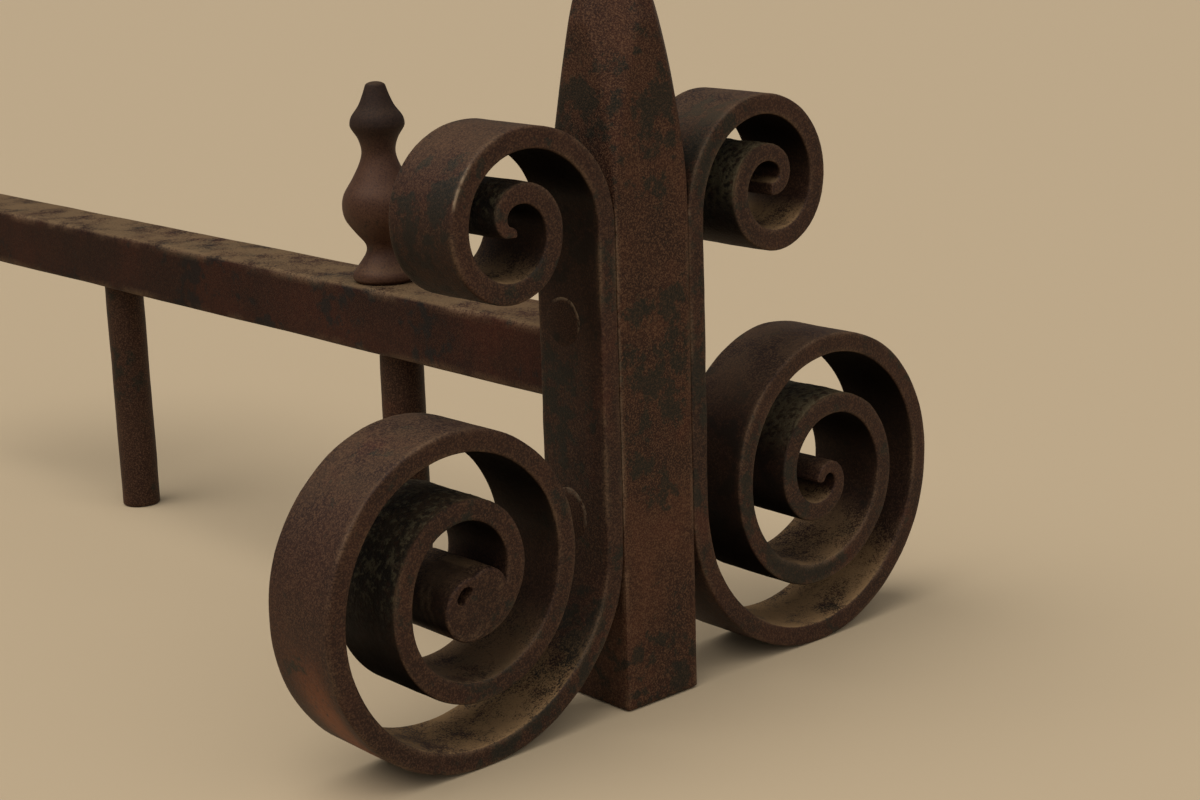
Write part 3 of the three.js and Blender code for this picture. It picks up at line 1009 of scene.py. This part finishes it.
@dataclass
class ScrolledStrap:
    """Flat bar on one side of the post, rolled into a volute at both ends.

    Where its lower volute is rolled shut, a roll closes its eye. The filled nook beside that roll and the small hole
    in it are placed outwards and up from the roll's middle. Nicks are stretches of quarter turns in the upper volute.
    """

    side: Side
    lower: Volute
    upper: Volute
    seed: float
    post_side: float = 38.1
    width: float = 36.5
    thickness: float = 8.4
    forward: float = 0.7
    arris: float = 1.1
    rolled_shut: bool = False
    nicks: tuple[tuple[float, float], ...] = ((0.0, 0.0),)
    roll_radius: float = 12.4
    filling_place: tuple[float, float] = (-7.4, 4.6)
    filling_radius: float = 9.6
    hole_place: tuple[float, float] = (5.0, 5.2)
    quarter_steps: int = 28
    step: float = 1.9

    def _line(self, volute: Volute, curl: Curl) -> list[VolutePoint]:
        """Follow a volute from the straight stretch to its tip.

        Args:
            volute: The volute.
            curl: Which end of the strap it is.

        Returns:
            Its points, with heights from the volute's centre.
        """
        quarters = len(volute.radii) - 1
        centre = self.post_side / 2 + self.thickness / 2 + volute.radii[0]
        whole = quarters * self.quarter_steps
        count = whole - round(volute.cut_back * self.quarter_steps)
        places = []
        for k in range(count + 1):
            share = k / whole
            angle = share * quarters * math.pi / 2
            radius = volute.radius_at(share * quarters)
            out = centre + volute.eye_out * share - radius * math.cos(angle)
            up = volute.eye_up * share + curl.value * radius * math.sin(angle)
            places.append((out, up, share * quarters))
        points = []
        for k, (out, up, reached) in enumerate(places):
            before, after = places[max(k - 1, 0)], places[min(k + 1, count)]
            run = Vector((after[0] - before[0], 0, after[1] - before[1])).normalized()
            # The outer face is the one towards the post at the start, seen along the way outwards.
            normal = Vector((-run.z, 0, run.x)) if curl is Curl.UPPER else Vector((run.z, 0, -run.x))
            if k == 0:
                normal = Vector((-1, 0, 0))
            thickness = self.thickness
            if volute.thin_from_turn is not None and reached / 4 > volute.thin_from_turn:
                thinned = (reached / 4 - volute.thin_from_turn) / (quarters / 4 - volute.thin_from_turn)
                thickness += (volute.tip_thickness - self.thickness) * thinned
            points.append(VolutePoint(out, up, thickness, reached, normal))
        return self._even(points)

    def _even(self, points: list[VolutePoint]) -> list[VolutePoint]:
        """Thin a line out to steps of about the same length.

        Args:
            points: The line's points.

        Returns:
            Those that are kept, with both ends among them.
        """
        kept = [points[0]]
        for point in points[1:]:
            if math.hypot(point.out - kept[-1].out, point.up - kept[-1].up) >= self.step:
                kept.append(point)
        if kept[-1] is not points[-1]:
            kept[-1] = points[-1]
        return kept

    def _tip(self, point: VolutePoint, before: VolutePoint, softness: float) -> list[tuple[VolutePoint, float]]:
        """Round off a tip: a few more points whose thickness falls as a quarter circle on each side.

        Args:
            point: The last point of the line.
            before: The one before it.
            softness: Radius of the rounding as a share of half the thickness.

        Returns:
            The new points, each with the share of the thickness that is left.
        """
        run = Vector((point.out - before.out, 0, point.up - before.up)).normalized()
        made = []
        for degrees in TIP_DEGREES:
            angle = math.radians(degrees)
            reach = point.thickness / 2 * softness * math.sin(angle)
            out, up = point.out + run.x * reach, point.up + run.z * reach
            moved = VolutePoint(out, up, point.thickness, point.quarters, point.normal)
            made.append((moved, 1 - softness * (1 - math.cos(angle))))
        return made

    def path(self) -> tuple[BarPath, list[tuple[float, float]], Vector]:
        """Lay out the whole strap.

        Returns:
            The path from the lower tip to the upper one, at each point the crust and the quarter turns (negative
            in the lower volute), and the middle of the roll that shuts the lower volute.
        """
        lower, upper = self._line(self.lower, Curl.LOWER), self._line(self.upper, Curl.UPPER)
        lift = -min(p.up + p.normal.z * p.thickness / 2 for p in lower)
        path = BarPath(broad=Vector((0, self.side.value, 0)))
        marks: list[tuple[float, float]] = []
        sign, depth = self.side.value, -self.forward

        def lay(point: VolutePoint, height: float, share: float, volute: Volute, turn_sign: int) -> None:
            """Lay one point of a volute.

            Args:
                point: The point.
                height: Height of the volute's centre in millimetres.
                share: What the tip's rounding leaves of the thickness there.
                volute: The volute.
                turn_sign: Sign of the quarter turns that are noted.
            """
            first, last = volute.crusted
            crust = smooth(point.quarters, first, first + 0.5) * smooth(point.quarters, last + 0.5, last)
            draw = (share * point.thickness / self.thickness, 1 - 0.03 * (1 - share))
            middle = Vector((sign * point.out, depth, point.up + height))
            path.add(middle, Vector((sign * point.normal.x, 0, point.normal.z)), draw)
            marks.append((crust, turn_sign * point.quarters))

        if not self.rolled_shut:
            for point, share in reversed(self._tip(lower[-1], lower[-2], self.lower.tip_softness)):
                lay(point, lift, share, self.lower, -1)
        for point in reversed(lower):
            lay(point, lift, 1.0, self.lower, -1)
        start, end = lower[0].up + lift, upper[0].up + self.upper.centre_height
        count = int((end - start) / self.step)
        for k in range(1, count):
            middle = Vector((sign * lower[0].out, depth, start + (end - start) * k / count))
            path.add(middle, Vector((-sign, 0, 0)))
            marks.append((0.0, 0.0))
        for point in upper:
            lay(point, self.upper.centre_height, 1.0, self.upper, 1)
        for point, share in self._tip(upper[-1], upper[-2], self.upper.tip_softness):
            lay(point, self.upper.centre_height, share, self.upper, 1)
        tip = lower[-1]
        inwards = self.thickness / 2 - self.roll_radius
        roll = Vector((sign * (tip.out + tip.normal.x * inwards), depth, tip.up + lift + tip.normal.z * inwards))
        return path, marks, roll

    def build(self, forge: Forge) -> bpy.types.Object:
        """Build and dress the strap.

        Args:
            forge: The trees that draw and finish it.

        Returns:
            The piece.
        """
        name = self.side.name.lower() + "_scroll"
        path, marks, roll = self.path()
        mesh = forge.draw(name, path, BarSection(self.thickness, self.width, self.arris))
        if self.rolled_shut:
            mesh = self._shut(forge, mesh, roll)
        self._mark(mesh, path, marks)
        work = HammerWork(wave_depth=0.5, wave_size=30, dent_depth=0.14, dent_size=12, seed=self.seed)
        piece = forge.hammer(name, mesh, work, STRAP_FINISH)
        return piece

    def _shut(self, forge: Forge, mesh: bpy.types.Mesh, roll: Vector) -> bpy.types.Mesh:
        """Join the roll to the lower tip, fill the nook beside it and leave a small hole in its front.

        Args:
            forge: The trees that draw the roll.
            mesh: The strap with a square lower end.
            roll: Middle of the roll in millimetres.

        Returns:
            The joined mesh.
        """
        side = self.side.value
        disc = as_object("roll", self._disc(forge, roll, self.roll_radius))
        nook, head = (roll + Vector((side * out, 0, up)) for out, up in (self.filling_place, self.hole_place))
        filling = as_object("filling", self._disc(forge, nook, self.filling_radius))
        hole = as_object("hole", self._comma(head))
        strap = as_object("strap", mesh)
        for operation, other in (("UNION", disc), ("UNION", filling), ("DIFFERENCE", hole)):
            modifier = strap.modifiers.new(other.name, "BOOLEAN")
            modifier.operation, modifier.solver, modifier.object = operation, "EXACT", other
        made = baked(strap)
        discard(strap, disc, filling, hole)
        close_up(made)
        return made

    def _disc(self, forge: Forge, middle: Vector, radius: float) -> bpy.types.Mesh:
        """Build a short round bar that lies across the strap's width, with its arrises rounded like the strap's.

        Args:
            forge: The trees that draw it.
            middle: Its middle in millimetres.
            radius: Its radius.

        Returns:
            The closed mesh.
        """
        # A hair wider than the strap, so that no two faces lie in one plane where they are joined.
        half = self.width / 2 + 0.04
        face_insets, arris_steps, side_steps = (7.5, 5, 3, 1.5, 0.5, 0), 4, 18
        face = [(radius - self.arris - inset, -half) for inset in face_insets]
        for k in range(1, arris_steps + 1):
            angle = math.pi / 2 * k / arris_steps
            face.append((radius - self.arris * (1 - math.sin(angle)), -half + self.arris * (1 - math.cos(angle))))
        side = [(radius, (half - self.arris) * (2 * k / side_steps - 1)) for k in range(1, side_steps)]
        profile = face + side + [(width, -along) for width, along in reversed(face)]
        return turned(forge, "disc", profile, middle, Vector((0, 1, 0)))

    def _comma(self, middle: Vector) -> bpy.types.Mesh:
        """Build the cutter of the hole beside the roll: a comma whose tail follows the roll's edge.

        Args:
            middle: Middle of the comma's head in millimetres.

        Returns:
            The closed cutter, longer than the strap is wide.
        """
        head_radius, tail_length, lean, bend, count = 2.3, 3.8, 0.95, 0.35, 24
        outline = []
        for k in range(count):
            angle = 2 * math.pi * k / count
            tail = max(math.cos(angle), 0.0) ** 4
            radius = head_radius + tail_length * tail
            way = angle + lean - bend * tail
            outline.append((radius * math.cos(way), radius * math.sin(way)))
        rings = [[(middle + Vector((x, along, z))) * MM for x, z in outline] for along in (-30.0, 30.0)]
        return ringed("comma", rings)

    def _mark(self, mesh: bpy.types.Mesh, path: BarPath, marks: list[tuple[float, float]]) -> None:
        """Store the strap's crust, shelter, nicks and heat, and where soot, smoke and painted shade darken it.

        Args:
            mesh: The strap.
            path: Its path.
            marks: Crust and quarter turns at the path's points.
        """
        tree = KDTree(len(path.middles))
        for k, middle in enumerate(path.middles):
            tree.insert((middle.x, 0, middle.z), k)
        tree.balance()
        stored: dict[str, list[float]] = {name: [] for name in MARKS}
        left, half = self.side is Side.LEFT, self.width / 2
        for vertex in mesh.vertices:
            place = vertex.co / MM
            _, k, _ = tree.find((place.x, 0, place.z))
            outer = (place - path.middles[k]).dot(path.across[k]) / (self.thickness / 2)
            rough, turned_by = marks[k]
            deep = abs(turned_by)
            back = place.y + self.forward
            # The narrow front and back faces stay clean.
            within = smooth(half - abs(back), 0.05, 0.9)
            inner, outside = within * smooth(outer, 0.2, -0.8), within * smooth(outer, 0.3, 0.9)
            if self.rolled_shut and deep > 8 and outer < -1.03:
                inner, outside = 0.0, within
            stored["crust"].append(rough * outside)
            stored["ashen"].append(0.35 if left else 1.0)
            # Ash gathers in the lowest stretch of the outer turn, and less in the turns inside it.
            less = 0.8 if left else 0.5
            stored["shelter"].append(inner * smooth(deep, 0.15, 0.6) * (1 - less * smooth(deep, 2.4, 3.4)))
            # Painted shade with soot inside the curls and on the innermost turns, which the turns round them shade.
            black = smooth(deep, -0.05, 0.3) if turned_by > 0 else smooth(deep, 0.3, 1.0)
            stored["sooted"].append(inner * black + outside * smooth(deep, 2.9, 3.8))
            # Smoke and painted shade darken the upper curls inside and below and the left strap below its curl, where
            # the curls shade them, and the left strap along its front.
            if turned_by > 0:
                inside = (0.95 if left else 0.45) * smooth(deep, 0.0, 0.4)
            else:
                inside = 0.7 * smooth(deep, 0.6, 2.2)
            along_front = 0.4 * smooth(back, -6, -14) * smooth(place.z, 50, 120)
            below = min(0.8 * smooth(place.z, 128, 178) + along_front, 0.9) * (left and -0.1 < turned_by < 0.7)
            under = max(0.85 * smooth(deep, 2.7, 3.7), 0.8 * smooth(turned_by, 1.55, 2.3))
            stored["smoked"].append(outside * under + inner * max(inside, below))
            # Blows nicked the outer arris in front, on the upper curls.
            bright = max(
                smooth(deep, first - 0.04, first) * smooth(deep, last + 0.06, last) for first, last in self.nicks
            )
            front = smooth(back, 0.8 - half, 0.1 - half) * smooth(outer, 0.7, 0.92)
            stored["nick"].append(0.9 * bright * front * (turned_by > 0))
            # One stretch of the left lower curl's outer face glowed and stayed orange.
            glow = smooth(turned_by, -1.15, -1.4) * smooth(turned_by, -1.95, -1.6) * left
            stored["ember"].append(0.9 * glow * outside * smooth(place.y, 12, -2) * smooth(place.y, -18, -8))
            # On the left, the upper curl and the stretch between the rivets kept fire scale. Both lower curls shed it
            # from their outer turns and from the roll's face.
            kept = 0.6 * outside * smooth(turned_by, 1.2, 1.7) * smooth(turned_by, 2.9, 2.4) * left
            between_rivets = 0.6 * inner * smooth(abs(place.z - 122), 26, 8) * (deep < 0.05) * left
            clean = 0.8 * smooth(turned_by, -0.8, -1.6) * max(smooth(deep, 3.2, 2.8), smooth(deep, 7.6, 8.2))
            stored["scaling"].append(kept + between_rivets - clean)
        for name, values in stored.items():
            set_values(mesh, name, "FLOAT", values)


def turned(
    forge: Forge, name: str, profile: list[tuple[float, float]], middle: Vector, axis: Vector, quarter_steps: int = 14
) -> bpy.types.Mesh:
    """Turn a profile about an axis, as a round bar drawn to the profile's radii.

    Args:
        forge: The trees that draw it.
        name: Name of the mesh.
        profile: Radii and distances along the axis in millimetres, from one end to the other.
        middle: Where distances along the axis start, in millimetres.
        axis: The axis.
        quarter_steps: Steps in a quarter turn about the axis.

    Returns:
        The closed mesh.
    """
    widest = max(radius for radius, _ in profile)
    across = axis.orthogonal().normalized()
    path = BarPath(broad=axis.cross(across))
    for radius, along in profile:
        path.add(middle + axis * along, across, (radius / widest, radius / widest))
    return forge.draw(name, path, BarSection(2 * widest, 2 * widest, widest, quarter_steps))


# ---- Rivets ----


@dataclass
class Rivet:
    """Rivet through both straps and the post, its heads hammered nearly flat.

    Brightness is how strong the highlight painted on the heads' rims is, and the smoke share is how far smoke and
    painted shade darken them, both as shares.
    """

    name: str
    height: float
    seed: float
    set_back: float = 2.4
    seat: float = 27.45
    shank_radius: float = 5.0
    head_radius: float = 10.2
    head_height: float = 0.6
    brightness: float = 0.75
    smoked: float = 0.0

    def _half(self) -> list[tuple[float, float]]:
        """Lay out the profile of one half.

        Returns:
            Radii and distances from the post's axis, from the middle of the shank to the middle of the head.
        """
        shank_steps, head_steps, flatness = 6, 8, 2.6
        half = [(self.shank_radius, self.seat * k / shank_steps) for k in range(shank_steps + 1)]
        half += [(self.head_radius * 0.75, self.seat), (self.head_radius, self.seat)]
        for k in range(1, head_steps + 1):
            share = k / head_steps
            rise = 1 - (1 - share) ** flatness
            half.append((self.head_radius * (1 - share * 0.985), self.seat + self.head_height * rise))
        return half

    def build(self, forge: Forge) -> bpy.types.Object:
        """Build and dress the rivet.

        Args:
            forge: The trees that finish it.

        Returns:
            The piece.
        """
        half = self._half()
        profile = [(radius, -along) for radius, along in reversed(half)] + half[1:]
        mesh = turned(forge, self.name, profile, Vector((0, self.set_back, self.height)), Vector((1, 0, 0)), 12)
        # A highlight is painted on the heads' rims, and smoke with painted shade darkens the whole rivet.
        set_values(mesh, "nick", "FLOAT", [self._rim(vertex.co / MM) for vertex in mesh.vertices])
        set_values(mesh, "smoked", "FLOAT", [self.smoked] * len(mesh.vertices))
        work = HammerWork(wave_depth=0.1, wave_size=14, dent_depth=0.08, dent_size=6, seed=self.seed)
        piece = forge.hammer(self.name, mesh, work, RIVET_FINISH)
        return piece

    def _rim(self, place: Vector) -> float:
        """Tell how bright a point is painted: a highlight is painted on the heads' rims at the upper front.

        Args:
            place: The point in millimetres.

        Returns:
            A share from 0 to 1, which is 0 on the shank.
        """
        if abs(place.x) <= self.seat - 1:
            return 0.0
        along, up = place.y - self.set_back, place.z - self.height
        rim = smooth(math.hypot(along, up), self.head_radius - 2.0, self.head_radius - 0.8)
        return self.brightness * rim * smooth(up - 0.8 * along, 1, 7)


# ---- Log bar, legs and log stop ----


@dataclass
class LogBar:
    """Square bar behind the post that the logs lie on. Smoke darkened it over a stretch behind the log stop."""

    width: float = 33.6
    thickness: float = 28.8
    top_height: float = 149.0
    start: float = 19.05
    length: float = 541.0
    arris: float = 2.6
    end_bevel: float = 2.0
    end_taper: float = 0.06
    smoke_and_shade: float = 0.35
    smoke_stretch: tuple[float, float] = (160.0, 300.0)
    ring_step: float = 2.4
    work: HammerWork = HammerWork(wave_depth=0.4, wave_size=60, dent_depth=0.07, dent_size=24, seed=4.7)

    def build(self, forge: Forge) -> bpy.types.Object:
        """Build and dress the bar.

        Args:
            forge: The trees that draw and finish it.

        Returns:
            The piece.
        """
        path = BarPath(broad=Vector((1, 0, 0)))
        count = int(self.length / self.ring_step)
        height = self.top_height - self.thickness / 2
        for k in range(count + 1):
            place = self.start + self.length * k / count
            drawn = 1 - self.end_taper * smooth(self.start + self.length - place, self.end_bevel, 0.0)
            path.add(Vector((0, place, height)), Vector((0, 0, 1)), (drawn, drawn))
        path.face(1 - self.end_taper)
        mesh = forge.draw("log_bar", path, BarSection(self.thickness, self.width, self.arris))
        smoke_and_shade = [self.smoke_and_shade * smooth(vertex.co.y / MM, *self.smoke_stretch) for vertex in mesh.vertices]
        set_values(mesh, "smoked", "FLOAT", smoke_and_shade)
        piece = forge.hammer("log_bar", mesh, self.work, BAR_FINISH)
        return piece


@dataclass
class Leg:
    """Round bar that stands under the log bar."""

    name: str
    place: float
    seed: float
    radius: float = 9.65
    height: float = 120.2
    foot_bevel: float = 0.8
    ring_step: float = 2.2

    def build(self, forge: Forge) -> bpy.types.Object:
        """Build and dress the leg.

        Args:
            forge: The trees that draw and finish it.

        Returns:
            The piece.
        """
        path = BarPath(broad=Vector((0, 1, 0)))
        count = int(self.height / self.ring_step)
        shank = self.height - self.foot_bevel
        for height in [0.0] + [self.foot_bevel + shank * k / count for k in range(count + 1)]:
            drawn = 1 - self.foot_bevel / self.radius if height == 0 else 1.0
            path.add(Vector((0, self.place, height)), Vector((1, 0, 0)), (drawn, drawn))
        section = BarSection(2 * self.radius, 2 * self.radius, self.radius, arris_steps=12)
        mesh = forge.draw(self.name, path, section)
        work = HammerWork(wave_depth=0.25, wave_size=30, dent_depth=0.08, dent_size=12, seed=self.seed)
        piece = forge.hammer(self.name, mesh, work, LEG_FINISH)
        return piece


@dataclass
class LogStop:
    """Turned baluster on the log bar that keeps the logs off the post."""

    place: float = 152.75
    bar_top: float = 149.0
    crown: float = 87.2
    quarter_steps: int = 18
    curve_steps: int = 5
    profile: list[tuple[float, float]] = field(
        default_factory=lambda: [
            (12.3, 0.0),
            (12.9, 0.7),
            (13.9, 1.8),
            (13.5, 4.6),
            (10.3, 8.9),
            (7.7, 13.2),
            (7.9, 17.0),
            (12.1, 22.2),
            (16.0, 27.8),
            (17.1, 33.3),
            (16.1, 38.8),
            (12.1, 45.4),
            (8.7, 52.0),
            (7.4, 57.4),
            (8.7, 62.8),
            (11.4, 67.2),
            (11.9, 69.4),
            (11.0, 72.5),
            (7.9, 76.8),
            (5.9, 81.2),
            (4.5, 85.2),
        ]
    )

    def _curve(self) -> list[tuple[float, float]]:
        """Follow the profile smoothly, then round off its crown.

        Returns:
            Radii and heights above the bar.
        """
        points = self.profile
        made = []
        for k in range(len(points) - 1):
            before, a, b = points[max(k - 1, 0)], points[k], points[k + 1]
            after = points[min(k + 2, len(points) - 1)]
            # A cubic from one point to the next, with the slopes of their neighbours.
            for step in range(self.curve_steps):
                t = step / self.curve_steps
                made.append(
                    tuple(
                        0.5
                        * (
                            2 * a[i]
                            + (b[i] - before[i]) * t
                            + (2 * before[i] - 5 * a[i] + 4 * b[i] - after[i]) * t * t
                            + (3 * a[i] - before[i] - 3 * b[i] + after[i]) * t**3
                        )
                        for i in (0, 1)
                    )
                )
        radius, height = points[-1]
        for degrees in CROWN_DEGREES:
            angle = math.radians(degrees)
            made.append((radius * math.cos(angle), height + (self.crown - height) * math.sin(angle)))
        return made

    def build(self, forge: Forge) -> bpy.types.Object:
        """Build and dress the log stop.

        Args:
            forge: The trees that finish it.

        Returns:
            The piece.
        """
        foot = Vector((0, self.place, self.bar_top))
        mesh = turned(forge, "log_stop", self._curve(), foot, Vector((0, 0, 1)), self.quarter_steps)
        # Smoke greyed it above its waist, and dust lies in the hollow above its foot.
        heights = [vertex.co.z / MM - self.bar_top for vertex in mesh.vertices]
        set_values(mesh, "smoked", "FLOAT", [0.85 * smooth(height, 50, 72) for height in heights])
        set_values(mesh, "shelter", "FLOAT", [0.35 * smooth(height, 14, 4) for height in heights])
        work = HammerWork(wave_depth=0.12, wave_size=22, dent_depth=0.02, dent_size=12, seed=6.1)
        piece = forge.hammer("log_stop", mesh, work, STOP_FINISH)
        return piece


# ---- Studio ----


@dataclass
class Studio:
    """Pale floor, soft light and the camera.

    The camera's place is in metres, its angles are in degrees and its focal length is in pixels of a picture 1200
    pixels wide. It was fitted to the straight edges that the photograph shows.
    """

    floor_colour: str = "#c2b298"
    floor_reach: float = 9.0
    camera_place: tuple[float, float, float] = (-0.55692, -0.60755, 0.32920)
    azimuth: float = -41.868
    elevation: float = 14.198
    roll: float = -1.712
    focal_px: float = 2168.09
    image_width_px: float = 1200.0
    sensor: float = 36.0

    def build(self) -> None:
        """Set the floor, the light and the camera."""
        self._floor()
        self._light()
        self._camera()
        bpy.context.scene.view_settings.view_transform = "Standard"

    def _floor(self) -> None:
        """Lay a wide matt floor."""
        mesh = bpy.data.meshes.new("floor")
        reach = self.floor_reach
        corners = [(-reach, -reach, 0), (reach, -reach, 0), (reach, reach, 0), (-reach, reach, 0)]
        mesh.from_pydata(corners, [], [(0, 1, 2, 3)])
        floor = as_object("floor", mesh)
        made = bpy.data.materials.new("matt_painted_floor")
        made.use_nodes = True
        shader = made.node_tree.nodes["Principled BSDF"]
        shader.inputs["Base Color"].default_value = linear(self.floor_colour)
        shader.inputs["Roughness"].default_value = 0.9
        shader.inputs["Specular IOR Level"].default_value = 0.2
        mesh.materials.append(made)

    def _light(self) -> None:
        """Light softly from above, more from the left, with a weaker light from the front."""
        world = bpy.data.worlds.new("studio")
        bpy.context.scene.world = world
        world.use_nodes = True
        back = world.node_tree.nodes["Background"]
        back.inputs["Color"].default_value = linear("#fffaf2")
        back.inputs["Strength"].default_value = 0.18
        self._lamp("overhead", Vector((-0.45, 0.1, 1.0)), 60.0, 2.1)
        self._lamp("front", Vector((-0.1, -1.0, 0.75)), 70.0, 0.85)

    def _lamp(self, name: str, way: Vector, spread: float, power: float) -> None:
        """Hang one wide, far lamp.

        Args:
            name: Its name.
            way: Where it hangs, as seen from the andiron.
            spread: Width of the lamp as an angle in degrees.
            power: Its power, where pi lights a white face fully.
        """
        data = bpy.data.lights.new(name, "SUN")
        data.angle, data.energy = math.radians(spread), power
        data.color = linear("#fff6ea")[:3]
        lamp = bpy.data.objects.new(name, data)
        lamp.location = way * 2
        lamp.rotation_euler = (-way).to_track_quat("-Z", "Y").to_euler()
        bpy.context.scene.collection.objects.link(lamp)

    def _camera(self) -> None:
        """Place the camera by its direction and roll."""
        data = bpy.data.cameras.new("camera")
        data.sensor_width = self.sensor
        data.sensor_fit = "HORIZONTAL"
        data.lens = self.focal_px / self.image_width_px * self.sensor
        data.clip_start, data.clip_end = 0.02, 60.0
        a, e, r = (math.radians(v) for v in (self.azimuth, self.elevation, self.roll))
        back = Vector((math.sin(a) * math.cos(e), -math.cos(a) * math.cos(e), math.sin(e)))
        right = (-back).cross(Vector((0, 0, 1))).normalized()
        up = right.cross(-back)
        turned_right = right * math.cos(r) + up * math.sin(r)
        turned_up = up * math.cos(r) - right * math.sin(r)
        rows = Matrix((turned_right, turned_up, back)).transposed().to_4x4()
        camera = bpy.data.objects.new("camera", data)
        camera.matrix_world = Matrix.Translation(self.camera_place) @ rows
        bpy.context.scene.collection.objects.link(camera)
        bpy.context.scene.camera = camera


# ---- The andiron ----

LEFT_STRAP = ScrolledStrap(
    side=Side.LEFT,
    lower=Volute(
        [74.9, 65.3, 57.3, 55.1, 48.5, 42.3, 29.5, 26.3, 21.9, 21.6],
        eye_out=-3.7,
        eye_up=7.1,
        crusted=(5.6, 7.2),
    ),
    upper=Volute(
        [38.9, 34.6, 28.6, 22.6, 16.3, 10.0, 6.3, 5.8],
        eye_out=5.7,
        eye_up=8.4,
        centre_height=195.4,
        thin_from_turn=1.1,
        tip_thickness=4.3,
        crusted=(4.6, 7.0),
        tip_softness=0.8,
    ),
    seed=2.1,
    rolled_shut=True,
    nicks=((1.5, 1.72),),
)
RIGHT_STRAP = ScrolledStrap(
    side=Side.RIGHT,
    lower=Volute(
        [69.3, 69.4, 64.0, 55.5, 45.7, 41.0, 38.0, 31.7, 20.7, 10.6, 7.4, 7.2, 5.4],
        eye_out=6.9,
        eye_up=-6.6,
        thin_from_turn=2.0,
        tip_thickness=3.9,
        crusted=(5.4, 7.2),
        cut_back=0.35,
        tip_softness=0.6,
    ),
    upper=Volute(
        [38.6, 38.4, 29.6, 19.3, 14.5, 11.5, 10.3, 6.2],
        eye_out=1.6,
        eye_up=13.5,
        centre_height=191.1,
        thin_from_turn=1.1,
        tip_thickness=4.6,
        crusted=(3.2, 5.6),
        cut_back=0.3,
        tip_softness=0.4,
    ),
    seed=2.9,
)


def main() -> None:
    """Build the andiron and its studio."""
    logging.basicConfig(level=logging.INFO, format="%(message)s")
    Studio().build()
    forge = Forge()
    makers = [
        FrontPost(),
        LEFT_STRAP,
        RIGHT_STRAP,
        # The upper rivet is darkened by smoke and painted shade, like the strap round it below the left upper curl.
        Rivet("upper_rivet", 156.5, 3.1, smoked=0.5),
        Rivet("lower_rivet", 80.0, 3.8, brightness=0.4),
        LogBar(),
        LogStop(),
        Leg("front_leg", 143.95, 5.2),
        Leg("rear_leg", 381.75, 5.9),
    ]
    for maker in makers:
        piece = maker.build(forge)
        log.info("%s: %d faces", piece.name, len(piece.data.polygons))


if __name__ == "__main__":
    main()
